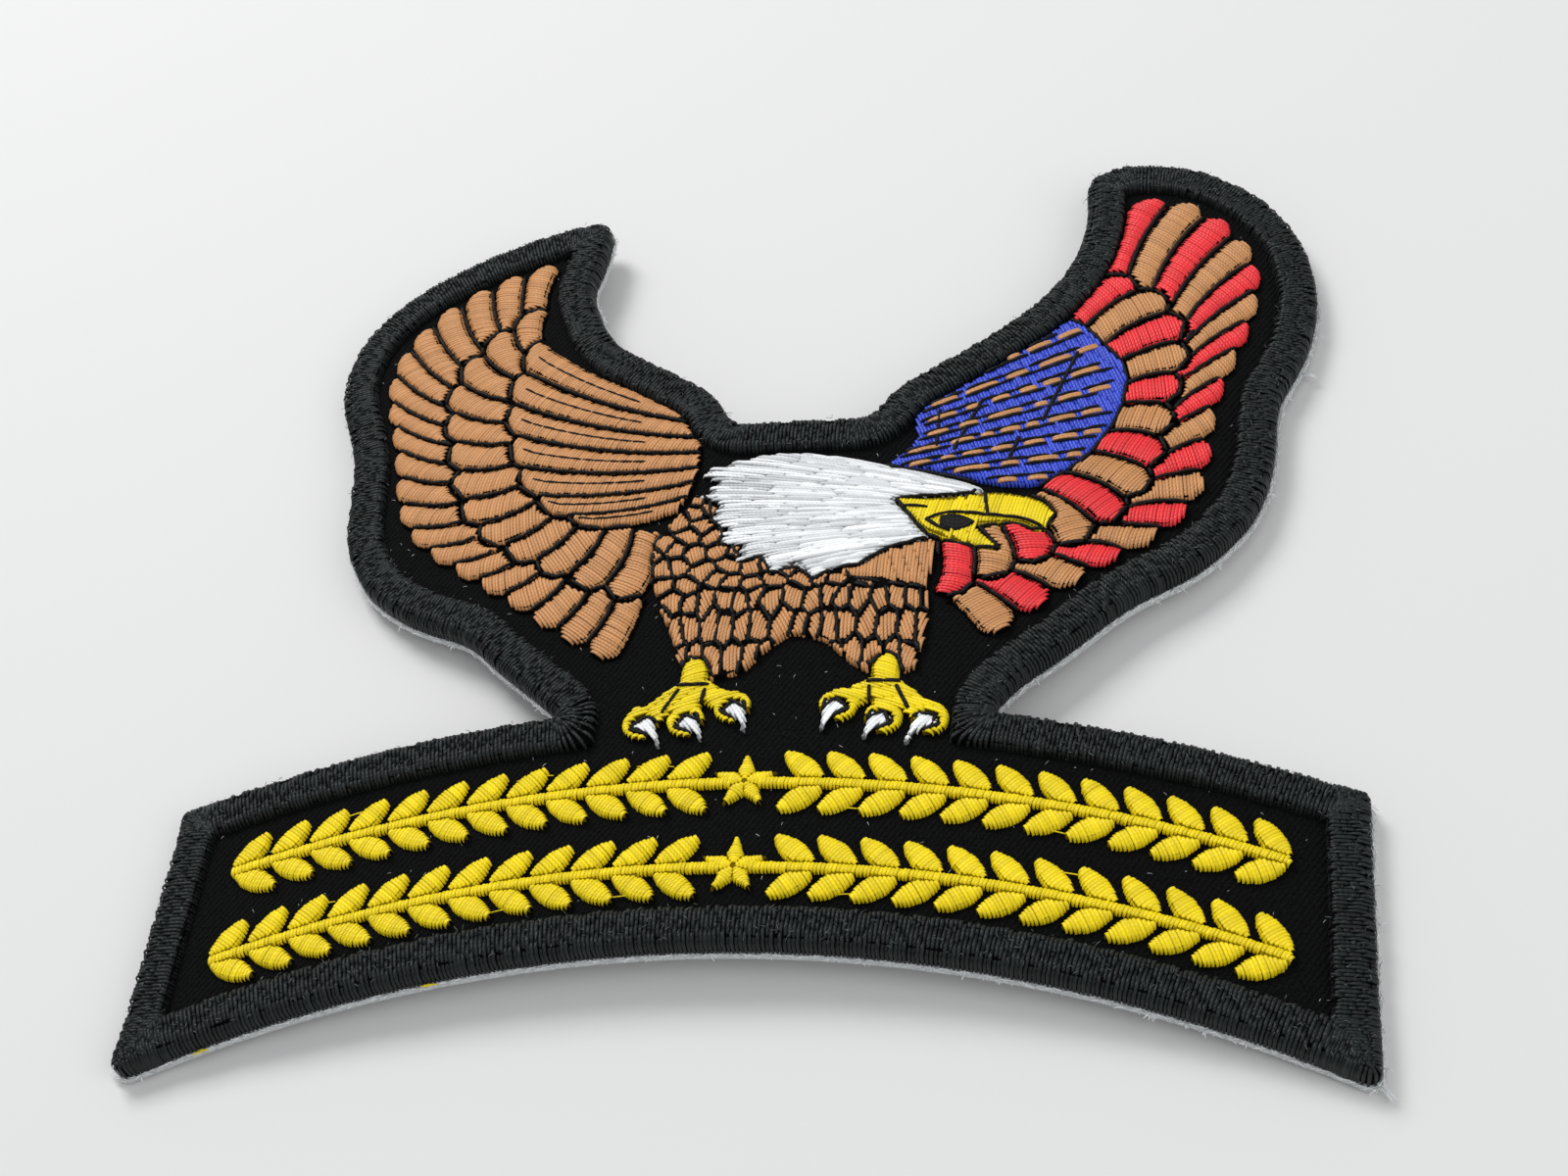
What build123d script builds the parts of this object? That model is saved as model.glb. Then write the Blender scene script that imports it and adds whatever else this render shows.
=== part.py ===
"""Embroidered rocker patch: an eagle with raised wings that stands on an arched banner.

One die-cut patch, built in layers from the underside up: heat-seal film, black twill, a satin
rim all round, and raised fields of embroidery. The whole patch has a gentle camber across its
width. Millimetres, +X to the right, +Y towards the wing tips, +Z out of the face. The origin is
in the middle of the patch's bounding box, on the surface that it rests on.
"""
import os
from functools import cache
from math import asin, atan2, cos, degrees, radians, sin, sqrt, tan

from build123d import *

# Overall sizes
patch_width = 114.0
arch_rise = 12.0
rocker_depth = 27.2
eagle_height = 72.8
camber_rise = 3.0

# Layers, from the underside up, and the air between two layers
film_thickness = 0.7
twill_thickness = 1.0
layer_gap = 0.05

# Rim of satin stitches, and the cut edges that show outside it
film_edge = 0.3
twill_edge = 0.2
rim_width = 3.6
rim_height = 1.1
corner_radius = 1.2

# Embroidery: a thin ground of thread with raised feathers on it. The ground of each feather laps
# over its neighbour's.
stitch_height = 0.8
groove_floor = 0.35
field_gap = 0.3
feather_gap = 0.5
field_lap = 0.15

# Ornament in the two rows of the banner, as shares of the banner's bare field
row_height_share = 0.35
row_places = {"lower": 0.225, "upper": 0.715}
row_margin = 3.2
stem_width = 1.0
leaf_width = 2.3
leaf_angle = 38.0
leaf_pitch = 3.9
star_points = 5
star_waist = 0.42

# Feet: their reach over the banner leaves this much air above the upper row of ornament
foot_clearance = 0.7
foot_spread = 4.9
shin_width = 2.7
toe_width = 2.3
knuckle_width = 3.6
talon_width = 1.9

# Worked out from the sizes above
half_width = patch_width / 2
lower_radius = (half_width**2 + arch_rise**2) / (2 * arch_rise)
upper_radius = lower_radius + rocker_depth
arc_centre = arch_rise - lower_radius
crown = arch_rise + rocker_depth
full_height = crown + eagle_height
camber_radius = (half_width**2 + camber_rise**2) / (2 * camber_rise)
rim_inset = film_edge + twill_edge
field_inset = rim_inset + rim_width + field_gap

bare_depth = rocker_depth - 2 * (rim_inset + rim_width)
row_height = row_height_share * bare_depth
row_radii = {
    name: lower_radius + rim_inset + rim_width + place * bare_depth
    for name, place in row_places.items()
}
foot_reach = upper_radius - row_radii["upper"] - row_height / 2 - foot_clearance

twill_base = film_thickness + layer_gap
face_level = twill_base + twill_thickness
thread_base = face_level + layer_gap

# Cut edge of the eagle, anticlockwise from the right of the banner. Each row is a corner that
# an arc rounds: x as a share of half_width, y as a share of eagle_height above the crown, and
# how much of the shorter side next to the corner the arc takes, 0 for sharp, 0.5 at most.
EAGLE_EDGE = [
    (0.405, -0.200, 0.00),
    (0.405, -0.008, 0.20),
    (0.440, 0.027, 0.45),
    (0.518, 0.080, 0.45),
    (0.614, 0.159, 0.45),
    (0.742, 0.220, 0.45),
    (0.833, 0.313, 0.45),
    (0.865, 0.410, 0.45),
    (0.870, 0.523, 0.45),
    (0.921, 0.604, 0.45),
    (0.951, 0.712, 0.45),
    (0.923, 0.842, 0.45),
    (0.842, 0.938, 0.45),
    (0.711, 1.000, 0.45),
    (0.579, 1.003, 0.40),
    (0.512, 0.970, 0.35),
    (0.519, 0.890, 0.45),
    (0.496, 0.794, 0.45),
    (0.430, 0.709, 0.45),
    (0.316, 0.629, 0.45),
    (0.184, 0.554, 0.45),
    (0.140, 0.495, 0.30),
    (-0.112, 0.495, 0.30),
    (-0.151, 0.554, 0.45),
    (-0.237, 0.602, 0.45),
    (-0.377, 0.673, 0.45),
    (-0.442, 0.795, 0.45),
    (-0.425, 0.850, 0.45),
    (-0.421, 0.936, 0.35),
    (-0.500, 0.937, 0.30),
    (-0.667, 0.893, 0.45),
    (-0.825, 0.818, 0.45),
    (-0.912, 0.725, 0.45),
    (-0.923, 0.615, 0.45),
    (-0.853, 0.478, 0.45),
    (-0.839, 0.382, 0.45),
    (-0.825, 0.306, 0.45),
    (-0.763, 0.220, 0.45),
    (-0.658, 0.159, 0.45),
    (-0.540, 0.124, 0.45),
    (-0.482, 0.077, 0.45),
    (-0.377, 0.008, 0.45),
    (-0.344, -0.018, 0.20),
    (-0.344, -0.200, 0.00),
]

# Neck and head in white, beak in yellow, breast and legs in brown, shoulder in blue: x and y as
# in the cut edge's table, and the same share for the arc.
HEAD = [
    (0.370, 0.350, 0.20),
    (0.263, 0.380, 0.45),
    (0.158, 0.402, 0.45),
    (0.053, 0.427, 0.45),
    (-0.035, 0.430, 0.45),
    (-0.105, 0.416, 0.30),
    (-0.151, 0.398, 0.00),
    (-0.121, 0.382, 0.00),
    (-0.144, 0.354, 0.00),
    (-0.109, 0.341, 0.00),
    (-0.126, 0.310, 0.00),
    (-0.091, 0.300, 0.00),
    (-0.102, 0.269, 0.00),
    (-0.063, 0.267, 0.00),
    (-0.061, 0.236, 0.00),
    (-0.021, 0.245, 0.00),
    (0.000, 0.212, 0.00),
    (0.035, 0.231, 0.00),
    (0.074, 0.201, 0.00),
    (0.105, 0.220, 0.00),
    (0.149, 0.223, 0.20),
    (0.193, 0.253, 0.30),
    (0.256, 0.267, 0.20),
    (0.300, 0.300, 0.20),
]
BEAK = [
    (0.204, 0.339, 0.15),
    (0.316, 0.342, 0.45),
    (0.386, 0.350, 0.30),
    (0.460, 0.335, 0.45),
    (0.488, 0.309, 0.40),
    (0.461, 0.275, 0.10),
    (0.426, 0.293, 0.30),
    (0.344, 0.290, 0.10),
    (0.393, 0.245, 0.10),
    (0.319, 0.258, 0.30),
    (0.260, 0.280, 0.30),
    (0.235, 0.310, 0.20),
]
BREAST = [
    (-0.163, 0.360, 0.10),
    (-0.060, 0.300, 0.10),
    (0.060, 0.240, 0.10),
    (0.180, 0.250, 0.10),
    (0.281, 0.268, 0.10),
    (0.274, 0.190, 0.30),
    (0.279, 0.128, 0.30),
    (0.267, 0.047, 0.25),
    (0.204, 0.033, 0.25),
    (0.151, 0.060, 0.30),
    (0.109, 0.096, 0.30),
    (0.046, 0.110, 0.30),
    (0.004, 0.082, 0.30),
    (-0.028, 0.047, 0.25),
    (-0.081, 0.033, 0.25),
    (-0.133, 0.041, 0.25),
    (-0.161, 0.107, 0.30),
    (-0.200, 0.170, 0.20),
    (-0.225, 0.265, 0.20),
]
SHOULDER = [
    (0.184, 0.400, 0.10),
    (0.237, 0.453, 0.20),
    (0.214, 0.510, 0.40),
    (0.233, 0.555, 0.40),
    (0.360, 0.613, 0.45),
    (0.439, 0.657, 0.45),
    (0.504, 0.676, 0.25),
    (0.604, 0.577, 0.30),
    (0.589, 0.483, 0.45),
    (0.530, 0.404, 0.45),
    (0.456, 0.360, 0.30),
    (0.377, 0.363, 0.30),
    (0.289, 0.385, 0.30),
]

# Guide lines that the feathers run between, from the wing tip down to the body: x and y as above
LEFT_TIPS = [
    (-0.516, 0.843),
    (-0.628, 0.814),
    (-0.728, 0.763),
    (-0.790, 0.692),
    (-0.803, 0.618),
    (-0.772, 0.530),
    (-0.738, 0.437),
    (-0.703, 0.350),
    (-0.630, 0.284),
    (-0.533, 0.231),
    (-0.431, 0.174),
    (-0.333, 0.118),
    (-0.252, 0.082),
]
LEFT_MIDDLES = [
    (-0.523, 0.752),
    (-0.588, 0.710),
    (-0.640, 0.658),
    (-0.665, 0.598),
    (-0.653, 0.530),
    (-0.623, 0.451),
    (-0.593, 0.378),
    (-0.540, 0.320),
    (-0.463, 0.275),
    (-0.377, 0.238),
    (-0.298, 0.208),
    (-0.225, 0.190),
]
LEFT_INNERS = [
    (-0.518, 0.690),
    (-0.535, 0.629),
    (-0.544, 0.574),
    (-0.526, 0.505),
    (-0.500, 0.437),
    (-0.461, 0.380),
    (-0.395, 0.337),
    (-0.316, 0.312),
]
LEFT_ROOTS = [
    (-0.184, 0.525),
    (-0.168, 0.455),
    (-0.168, 0.390),
    (-0.193, 0.330),
]
RIGHT_TIPS = [
    (0.596, 0.905),
    (0.667, 0.911),
    (0.757, 0.868),
    (0.812, 0.803),
    (0.825, 0.736),
    (0.807, 0.657),
    (0.776, 0.581),
    (0.746, 0.505),
    (0.732, 0.423),
    (0.720, 0.357),
    (0.682, 0.301),
    (0.612, 0.254),
    (0.524, 0.209),
    (0.443, 0.154),
    (0.365, 0.108),
]
RIGHT_MIDDLES = [
    (0.544, 0.755),
    (0.600, 0.738),
    (0.649, 0.705),
    (0.684, 0.650),
    (0.681, 0.581),
    (0.663, 0.512),
    (0.649, 0.444),
    (0.628, 0.379),
    (0.584, 0.324),
    (0.518, 0.276),
    (0.430, 0.238),
    (0.342, 0.201),
    (0.284, 0.176),
]
RIGHT_INNERS = [
    (0.498, 0.690),
    (0.545, 0.625),
    (0.582, 0.565),
    (0.570, 0.505),
    (0.545, 0.450),
    (0.507, 0.400),
    (0.460, 0.350),
    (0.420, 0.305),
    (0.360, 0.280),
    (0.288, 0.255),
]

# Rows of feathers: how many, how far their sides bow and how far their tips stand out, both as
# shares of the feather's own length and width
LEFT_OUTER = (20, 0.06, 0.32)
RIGHT_OUTER = (18, 0.06, 0.32)
COVERTS = (13, 0.08, 0.35)
SCAPULARS = (7, 0.05, 0.25)

# Inner end of the row of left coverts, past the scapulars
LEFT_ARMPIT = (-0.215, 0.290)

# Foot, seen from its ankle: where each toe ends, across as a share of foot_spread and down from
# the crown as a share of the foot's reach, and how far its talon goes on, as the same shares
ANKLE_RISE = 0.35
TOES = [
    (-0.95, -0.45, 0.42, -0.55),
    (-0.05, -0.42, 0.34, -0.46),
    (0.85, -0.14, 0.27, -0.55),
]
FOOT_PLACES = {"left": (-0.112, 1), "right": (0.214, -1)}
SHIN_TOP = 0.050

# How far a talon's outer and inner sides bow, as shares of its length, and how far past the
# middle of its knuckle it starts, as a share of its width
TALON_BOWS = (0.16, 0.06)
TALON_START = 0.25


def spot(x_share, y_share):
    """Flat position of a table's point."""
    return (x_share * half_width, crown + y_share * eagle_height)


def soft_outline(rows):
    """Face inside straight sides whose corners are rounded by arcs."""
    points = [Vector(*spot(x, y)) for x, y, _ in rows]
    radii = []
    for i, (_, _, softness) in enumerate(rows):
        before = points[i] - points[i - 1]
        after = points[(i + 1) % len(points)] - points[i]
        turn = before.get_angle(after)
        shorter = min(before.length, after.length)
        radii.append(softness * shorter / tan(radians(turn) / 2))
    return make_face(FilletPolyline(*points, radius=radii, close=True))


def grown(face, amount):
    """Face grown by an amount on all sides, round at its corners."""
    return offset(face, amount, kind=Kind.ARC)


def shrunk(face, amount):
    """Face shrunk by an amount on all sides."""
    return offset(face, -amount, kind=Kind.TANGENT)


def clear_of(face, *others):
    """Face with a gap left around plain outlines that lie over it."""
    for other in others:
        face = face - grown(other, field_gap)
    return face


def banner_face(inset):
    """Arched banner with upright ends and rounded corners, its sides moved in by an inset."""
    low = lower_radius + inset
    high = upper_radius - inset
    side = half_width - inset
    low_y = arc_centre + sqrt(low**2 - side**2)
    high_y = arc_centre + sqrt(high**2 - side**2)
    face = make_face(
        [
            ThreePointArc((-side, low_y), (0, arc_centre + low), (side, low_y)),
            Line((side, low_y), (side, high_y)),
            ThreePointArc((side, high_y), (0, arc_centre + high), (-side, high_y)),
            Line((-side, high_y), (-side, low_y)),
        ]
    )
    rounding = corner_radius - inset
    if rounding > 0:
        face = fillet(face.vertices(), rounding)
    return face


@cache
def eagle_face():
    """Cut outline of the eagle, down to where the banner covers it."""
    return soft_outline(EAGLE_EDGE)


@cache
def patch_face(inset):
    """Whole outline, the banner joined to the eagle, moved in from the cut edge by an inset."""
    eagle = shrunk(eagle_face(), inset) if inset > 0 else eagle_face()
    return banner_face(inset) + eagle


def feather_face(root_a, root_b, tip_a, tip_b, bow, bulge):
    """One feather: a root edge, two bowed sides and a rounded tip."""
    root = (root_a + root_b) / 2
    tip = (tip_a + tip_b) / 2
    length = (tip - root).length
    width = (tip_b - tip_a).length
    crest = tip + (tip - root).normalized() * bulge * width
    side_a = SagittaArc(root_a, tip_a, bow * length)
    cap = ThreePointArc(tip_a, crest, tip_b)
    side_b = SagittaArc(tip_b, root_b, -bow * length)
    return make_face([side_a, cap, side_b, Line(root_b, root_a)])


def feather_row(root_rows, tip_rows, sizes):
    """Faces of a row of feathers that fan out from one guide line to another."""
    count, bow, bulge = sizes
    roots = Spline(*[spot(x, y) for x, y in root_rows])
    tips = Spline(*[spot(x, y) for x, y in tip_rows])
    root_gap = feather_gap / 2 / roots.length
    tip_gap = feather_gap / 2 / tips.length
    faces = []
    for i in range(count):
        root_a = roots @ (i / count + root_gap)
        root_b = roots @ ((i + 1) / count - root_gap)
        tip_a = tips @ (i / count + tip_gap)
        tip_b = tips @ ((i + 1) / count - tip_gap)
        faces.append(feather_face(root_a, root_b, tip_a, tip_b, bow, bulge))
    return faces


def merged(faces):
    """One face out of many that overlap."""
    whole = faces[0]
    for face in faces[1:]:
        whole = whole + face
    return whole


@cache
def sheet(low, high):
    """Cambered sheet, larger than the patch, between two heights above the patch's underside."""
    reach = half_width + rim_width
    drop = camber_radius - camber_rise
    arcs = []
    for height in (low, high):
        radius = camber_radius + height
        side = sqrt(radius**2 - reach**2) - drop
        arcs.append(ThreePointArc((-reach, side), (0, radius - drop), (reach, side)))
    closers = [Line(arcs[0] @ end, arcs[1] @ end) for end in (0, 1)]
    section = Plane.XZ * make_face(arcs + closers)
    return extrude(section, full_height + rim_width, both=True)


def layer(face, low, high):
    """The part of the cambered patch inside a flat outline, between two heights."""
    return extrude(face, camber_rise + high, dir=(0, 0, 1)) & sheet(low, high)


def stitched(face):
    """Raised field of embroidery."""
    return layer(face, thread_base, thread_base + stitch_height)


def grooved(field, feathers):
    """Raised field with a groove between its feathers."""
    grooves = field - merged(feathers)
    return stitched(field) - layer(grooves, thread_base + groove_floor, thread_base + 2 * stitch_height)


def largest(sketch):
    """The main face of a feather whose root is partly covered."""
    return max(sketch.faces(), key=lambda face: face.area)


def spread(faces, amount):
    """One face that covers many and stands out past each of them by an amount."""
    return merged([grown(face, amount) for face in faces])


def capsule(start, end, width):
    """Straight bar with round ends."""
    start, end = Vector(*start), Vector(*end)
    run = end - start
    turn = degrees(atan2(run.Y, run.X))
    return Pos(*((start + end) / 2)) * SlotCenterToCenter(run.length, width, rotation=turn)


def foot_faces(side):
    """Yellow foot and its three white talons."""
    place, hand = FOOT_PLACES[side]
    middle = place * half_width
    ankle = (middle, crown + ANKLE_RISE * foot_reach)
    shin = (middle, crown + SHIN_TOP * eagle_height)
    parts = [capsule(ankle, shin, shin_width)]
    talons = []
    for across, down, tip_across, tip_down in TOES:
        knuckle = Vector(middle + hand * across * foot_spread, crown + down * foot_reach)
        tip = knuckle + Vector(hand * tip_across * foot_spread, tip_down * foot_reach)
        parts.append(capsule(ankle, tuple(knuckle), toe_width))
        parts.append(Pos(*knuckle) * Circle(knuckle_width / 2))
        talons.append(talon_face(knuckle, tip, hand))
    foot = clear_of(merged(parts), *talons)
    return foot, talons


def talon_face(knuckle, tip, hand):
    """Curved claw with a round root that narrows to a point."""
    run = tip - knuckle
    along = run.normalized() * talon_width / 2
    across = along.rotate(Axis.Z, 90) * hand
    start = knuckle + run.normalized() * TALON_START * talon_width
    outer_bow, inner_bow = [share * hand * run.length for share in TALON_BOWS]
    outer = SagittaArc(start - across, tip, outer_bow)
    inner = SagittaArc(tip, start + across, -inner_bow)
    root = ThreePointArc(start + across, start - along, start - across)
    return make_face([outer, inner, root])


def leaf_face(length):
    """Pointed leaf along +X from the origin."""
    upper = ThreePointArc((0, 0), (length / 2, leaf_width / 2), (length, 0))
    lower = ThreePointArc((length, 0), (length / 2, -leaf_width / 2), (0, 0))
    return make_face([upper, lower])


def star_face(radius):
    """Upright star with straight sides."""
    points = []
    for i in range(2 * star_points):
        size = radius if i % 2 == 0 else radius * star_waist
        turn = radians(90 + 180 / star_points * i)
        points.append((size * cos(turn), size * sin(turn)))
    return make_face(Polyline(*points, close=True))


def garland_face(radius):
    """Two leafy branches that grow along an arc of the banner towards a star in the middle."""
    end_angle = asin((half_width - rim_inset - rim_width - row_margin) / radius)
    ends = []
    for shift in (-stem_width / 2, stem_width / 2):
        r = radius + shift
        x, y = r * sin(end_angle), arc_centre + r * cos(end_angle)
        ends.append(ThreePointArc((-x, y), (0, arc_centre + r), (x, y)))
    closers = [Line(ends[0] @ side, ends[1] @ side) for side in (0, 1)]
    parts = [make_face(ends + closers)]
    parts.append(Pos(0, arc_centre + radius) * star_face(row_height / 2))

    leaf_length = row_height / 2 / sin(radians(leaf_angle))
    bare_middle = row_height / 2 + leaf_length * cos(radians(leaf_angle))
    leafy_angle = end_angle - bare_middle / radius
    count = round(leafy_angle * radius / leaf_pitch)
    for side in (-1, 1):
        for i in range(count + 1):
            angle = side * (end_angle - leafy_angle * i / count)
            base = Pos(radius * sin(angle), arc_centre + radius * cos(angle))
            growth = -degrees(angle) if side < 0 else 180 - degrees(angle)
            for lean in (-leaf_angle, leaf_angle):
                parts.append(base * Rot(0, 0, growth + lean) * leaf_face(leaf_length))
    return merged(parts)


def feather_fields(rows, inside, neighbours):
    """Field of each row of feathers, every row laid over the roots of the next one out."""
    spill = feather_gap / 2 + field_lap
    cover = list(neighbours)
    fields = {}
    for name, feathers in rows.items():
        field = spread(feathers, spill) & inside
        for face in cover:
            field = field - face
        fields[name] = field
        cover.append(spread(feathers, spill + field_gap))
    return fields


def left_wing(inside, neighbours):
    """Brown wing of three rows of feathers."""
    rows = {
        "left_scapulars": feather_row(LEFT_ROOTS, LEFT_INNERS, SCAPULARS),
        "left_coverts": feather_row(LEFT_INNERS + [LEFT_ARMPIT], LEFT_MIDDLES, COVERTS),
        "left_flight_feathers": feather_row(LEFT_MIDDLES, LEFT_TIPS, LEFT_OUTER),
    }
    fields = feather_fields(rows, inside, neighbours)
    return {name: grooved(fields[name], rows[name]) for name in rows}


def right_wing(inside, neighbours):
    """Tan wing of two rows of feathers, every other feather worked in red."""
    rows = {
        "covert": feather_row(RIGHT_INNERS, RIGHT_MIDDLES, COVERTS),
        "flight_feather": feather_row(RIGHT_MIDDLES, RIGHT_TIPS, RIGHT_OUTER),
    }
    fields = feather_fields(rows, inside, neighbours)
    nodes = {}
    for name, feathers in rows.items():
        nodes[f"right_{name}s"] = grooved(fields[name], feathers[1::2])
        for i, feather in enumerate(feathers[0::2], 1):
            shown = largest(feather & fields[name])
            low = thread_base + groove_floor + layer_gap
            nodes[f"red_{name}_{i}"] = layer(shown, low, thread_base + stitch_height)
    return nodes


def build():
    """Every node of the patch as a solid, by name."""
    inside = patch_face(field_inset)
    rim = patch_face(rim_inset) - patch_face(rim_inset + rim_width)
    nodes = {
        "backing_film": layer(patch_face(0), 0, film_thickness),
        "twill_ground": layer(patch_face(film_edge), twill_base, face_level),
        "satin_rim": layer(rim, thread_base, thread_base + rim_height),
    }
    for name, radius in row_radii.items():
        nodes[f"{name}_garland"] = stitched(garland_face(radius))

    feet = []
    for side in FOOT_PLACES:
        foot, talons = foot_faces(side)
        feet.append(foot)
        nodes[f"{side}_foot"] = stitched(foot)
        for i, talon in enumerate(talons, 1):
            nodes[f"{side}_talon_{i}"] = stitched(talon)

    beak, head, breast, shoulder = [soft_outline(rows) for rows in (BEAK, HEAD, BREAST, SHOULDER)]
    nodes["beak"] = stitched(beak)
    nodes["head"] = stitched(clear_of(head & inside, beak))
    nodes["breast"] = stitched(clear_of(breast & inside, head, beak, *feet))
    nodes["blue_shoulder"] = stitched(clear_of(shoulder & inside, head, beak))

    around_body = [grown(face, field_gap) for face in (head, breast)]
    around_shoulder = [grown(face, field_gap) for face in (beak, shoulder)]
    nodes.update(left_wing(inside, around_body))
    nodes.update(right_wing(inside, around_body + around_shoulder))
    return nodes


def main():
    """Write one STEP file for each node, with the origin under the middle of the patch."""
    os.makedirs("parts", exist_ok=True)
    middle = patch_face(0).bounding_box().center()
    for name, solid in build().items():
        export_step(Pos(-middle.X, -middle.Y, 0) * solid, f"parts/{name}.step")
        print(name, round(solid.volume, 2), len(solid.solids()))


main()
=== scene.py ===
# %% [markdown]
# An embroidered patch, dressed stitch by stitch.
#
# The real patch is a heat-seal film under black twill, with a satin rim and raised fields of
# polyester thread: an eagle with raised wings over an arched banner. The frame holds each layer and
# field as a plain solid. This lesson keeps the film and the twill and gives them their finish. It
# works every field again in stitches of their own over a padding, because the light on the rows of
# thread is what makes embroidery look like embroidery.

# %% Load the fixed frame
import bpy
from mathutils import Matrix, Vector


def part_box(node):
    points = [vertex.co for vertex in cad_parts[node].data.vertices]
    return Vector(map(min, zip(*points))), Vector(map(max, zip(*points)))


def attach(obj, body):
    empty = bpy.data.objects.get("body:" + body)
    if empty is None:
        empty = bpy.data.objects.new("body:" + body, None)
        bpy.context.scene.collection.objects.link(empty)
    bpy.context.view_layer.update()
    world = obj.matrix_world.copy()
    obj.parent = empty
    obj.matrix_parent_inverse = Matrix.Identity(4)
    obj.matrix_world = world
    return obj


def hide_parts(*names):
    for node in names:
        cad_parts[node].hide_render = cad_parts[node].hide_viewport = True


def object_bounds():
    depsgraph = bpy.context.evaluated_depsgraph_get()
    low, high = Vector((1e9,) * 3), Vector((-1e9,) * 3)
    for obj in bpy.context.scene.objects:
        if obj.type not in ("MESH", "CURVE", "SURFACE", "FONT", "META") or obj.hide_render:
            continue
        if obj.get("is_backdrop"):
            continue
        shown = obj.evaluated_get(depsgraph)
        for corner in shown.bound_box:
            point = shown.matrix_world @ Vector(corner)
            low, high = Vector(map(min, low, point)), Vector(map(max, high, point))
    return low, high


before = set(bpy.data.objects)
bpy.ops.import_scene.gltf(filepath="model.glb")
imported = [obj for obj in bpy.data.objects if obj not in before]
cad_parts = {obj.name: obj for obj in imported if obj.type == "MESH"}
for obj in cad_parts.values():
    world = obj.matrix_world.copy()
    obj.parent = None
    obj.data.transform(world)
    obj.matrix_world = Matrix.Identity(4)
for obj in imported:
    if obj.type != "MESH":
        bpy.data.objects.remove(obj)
cad_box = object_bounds()
cad_size = [round(v * 1000, 1) for v in cad_box[1] - cad_box[0]]
print("nodes", len(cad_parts), "box in mm", cad_size)

# %% Imports and units
from itertools import groupby
from math import asin, atan2, ceil, cos, hypot, pi, radians, sin, sqrt

import bmesh
import bpy
import numpy as np
from mathutils import Matrix, Vector
from mathutils.kdtree import KDTree

mm = 0.001
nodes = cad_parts

# %% [markdown]
# The patch is gently cambered across its width. A stitch is laid out flat, as on the embroiderer's
# drawing, and then set on the camber at its own height. The camber comes from the frame: it is a
# cylinder along Y that touches the floor at both ends.

# %% The camber
film_thickness = 0.7 * mm
half_width = cad_box[1].x
camber_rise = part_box("backing_film")[1].z - film_thickness
camber_radius = (half_width**2 + camber_rise**2) / (2 * camber_rise)
twill_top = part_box("twill_ground")[1].z - camber_rise


def height_of(point):
    """Height of a point above the patch's cambered underside."""
    return hypot(point.x, point.z + camber_radius - camber_rise) - camber_radius


def on_patch(x, y, height):
    """Point over a place of the flat drawing, at a height above the underside."""
    radius = camber_radius + height
    return Vector((x, y, sqrt(radius**2 - x**2) - camber_radius + camber_rise))


print("camber radius mm", round(camber_radius / mm), "twill top mm", round(twill_top / mm, 2))

# %% [markdown]
# The finishes come from shader nodes. One function adds a node with its settings and links, one
# turns the hex code of a colour on screen to the linear colour that the renderer needs, and one
# starts a material with the inputs that are the same all over.


# %% Helpers for materials
def add(tree, kind, inputs=None, **settings):
    """A new node, with its settings, and each input given a value or linked to a socket."""
    node = tree.nodes.new(kind)
    for name, value in settings.items():
        setattr(node, name, value)
    for name, value in (inputs or {}).items():
        if isinstance(value, bpy.types.NodeSocket):
            tree.links.new(value, node.inputs[name])
        else:
            node.inputs[name].default_value = value
    return node


def linear(code):
    """Linear colour of an sRGB hex code."""
    parts = [int(code[i:i + 2], 16) / 255 for i in (1, 3, 5)]
    return [c / 12.92 if c <= 0.04045 else ((c + 0.055) / 1.055) ** 2.4 for c in parts] + [1.0]


def new_material(name, **constants):
    """A material and its shader, with the inputs that are the same all over."""
    material = bpy.data.materials.new(name)
    material.use_nodes = True
    shader = material.node_tree.nodes["Principled BSDF"]
    for key, value in constants.items():
        shader.inputs[key.replace("_", " ")].default_value = value
    return material, material.node_tree, shader


# %% [markdown]
# Embroidery thread is two plies of trilobal polyester, with a silky gloss and a fine slanted twist.
# Every stitch carries a shade, its length, and a UV map that runs along and round it. The shade
# lightens or darkens the colour a little, as each stitch catches the light differently, and dust
# fades it in patches of about a millimetre. The twist is a sine along the UV map, scaled by the
# length, and it is bump. The underlays are matt, and their shade of 0 gives them the darkest value,
# painted shade between the threads.

# %% Thread, twisted trilobal polyester
twist_length, twist_depth = 0.45 * mm, 0.02 * mm
dust_patches = 0.9 / mm
# A shade of 0, which the padding has, gives the darkest value: painted shade between the threads
darkest_stitch, lightest_stitch = 0.35, 1.12
polyester_ior = 1.57


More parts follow.
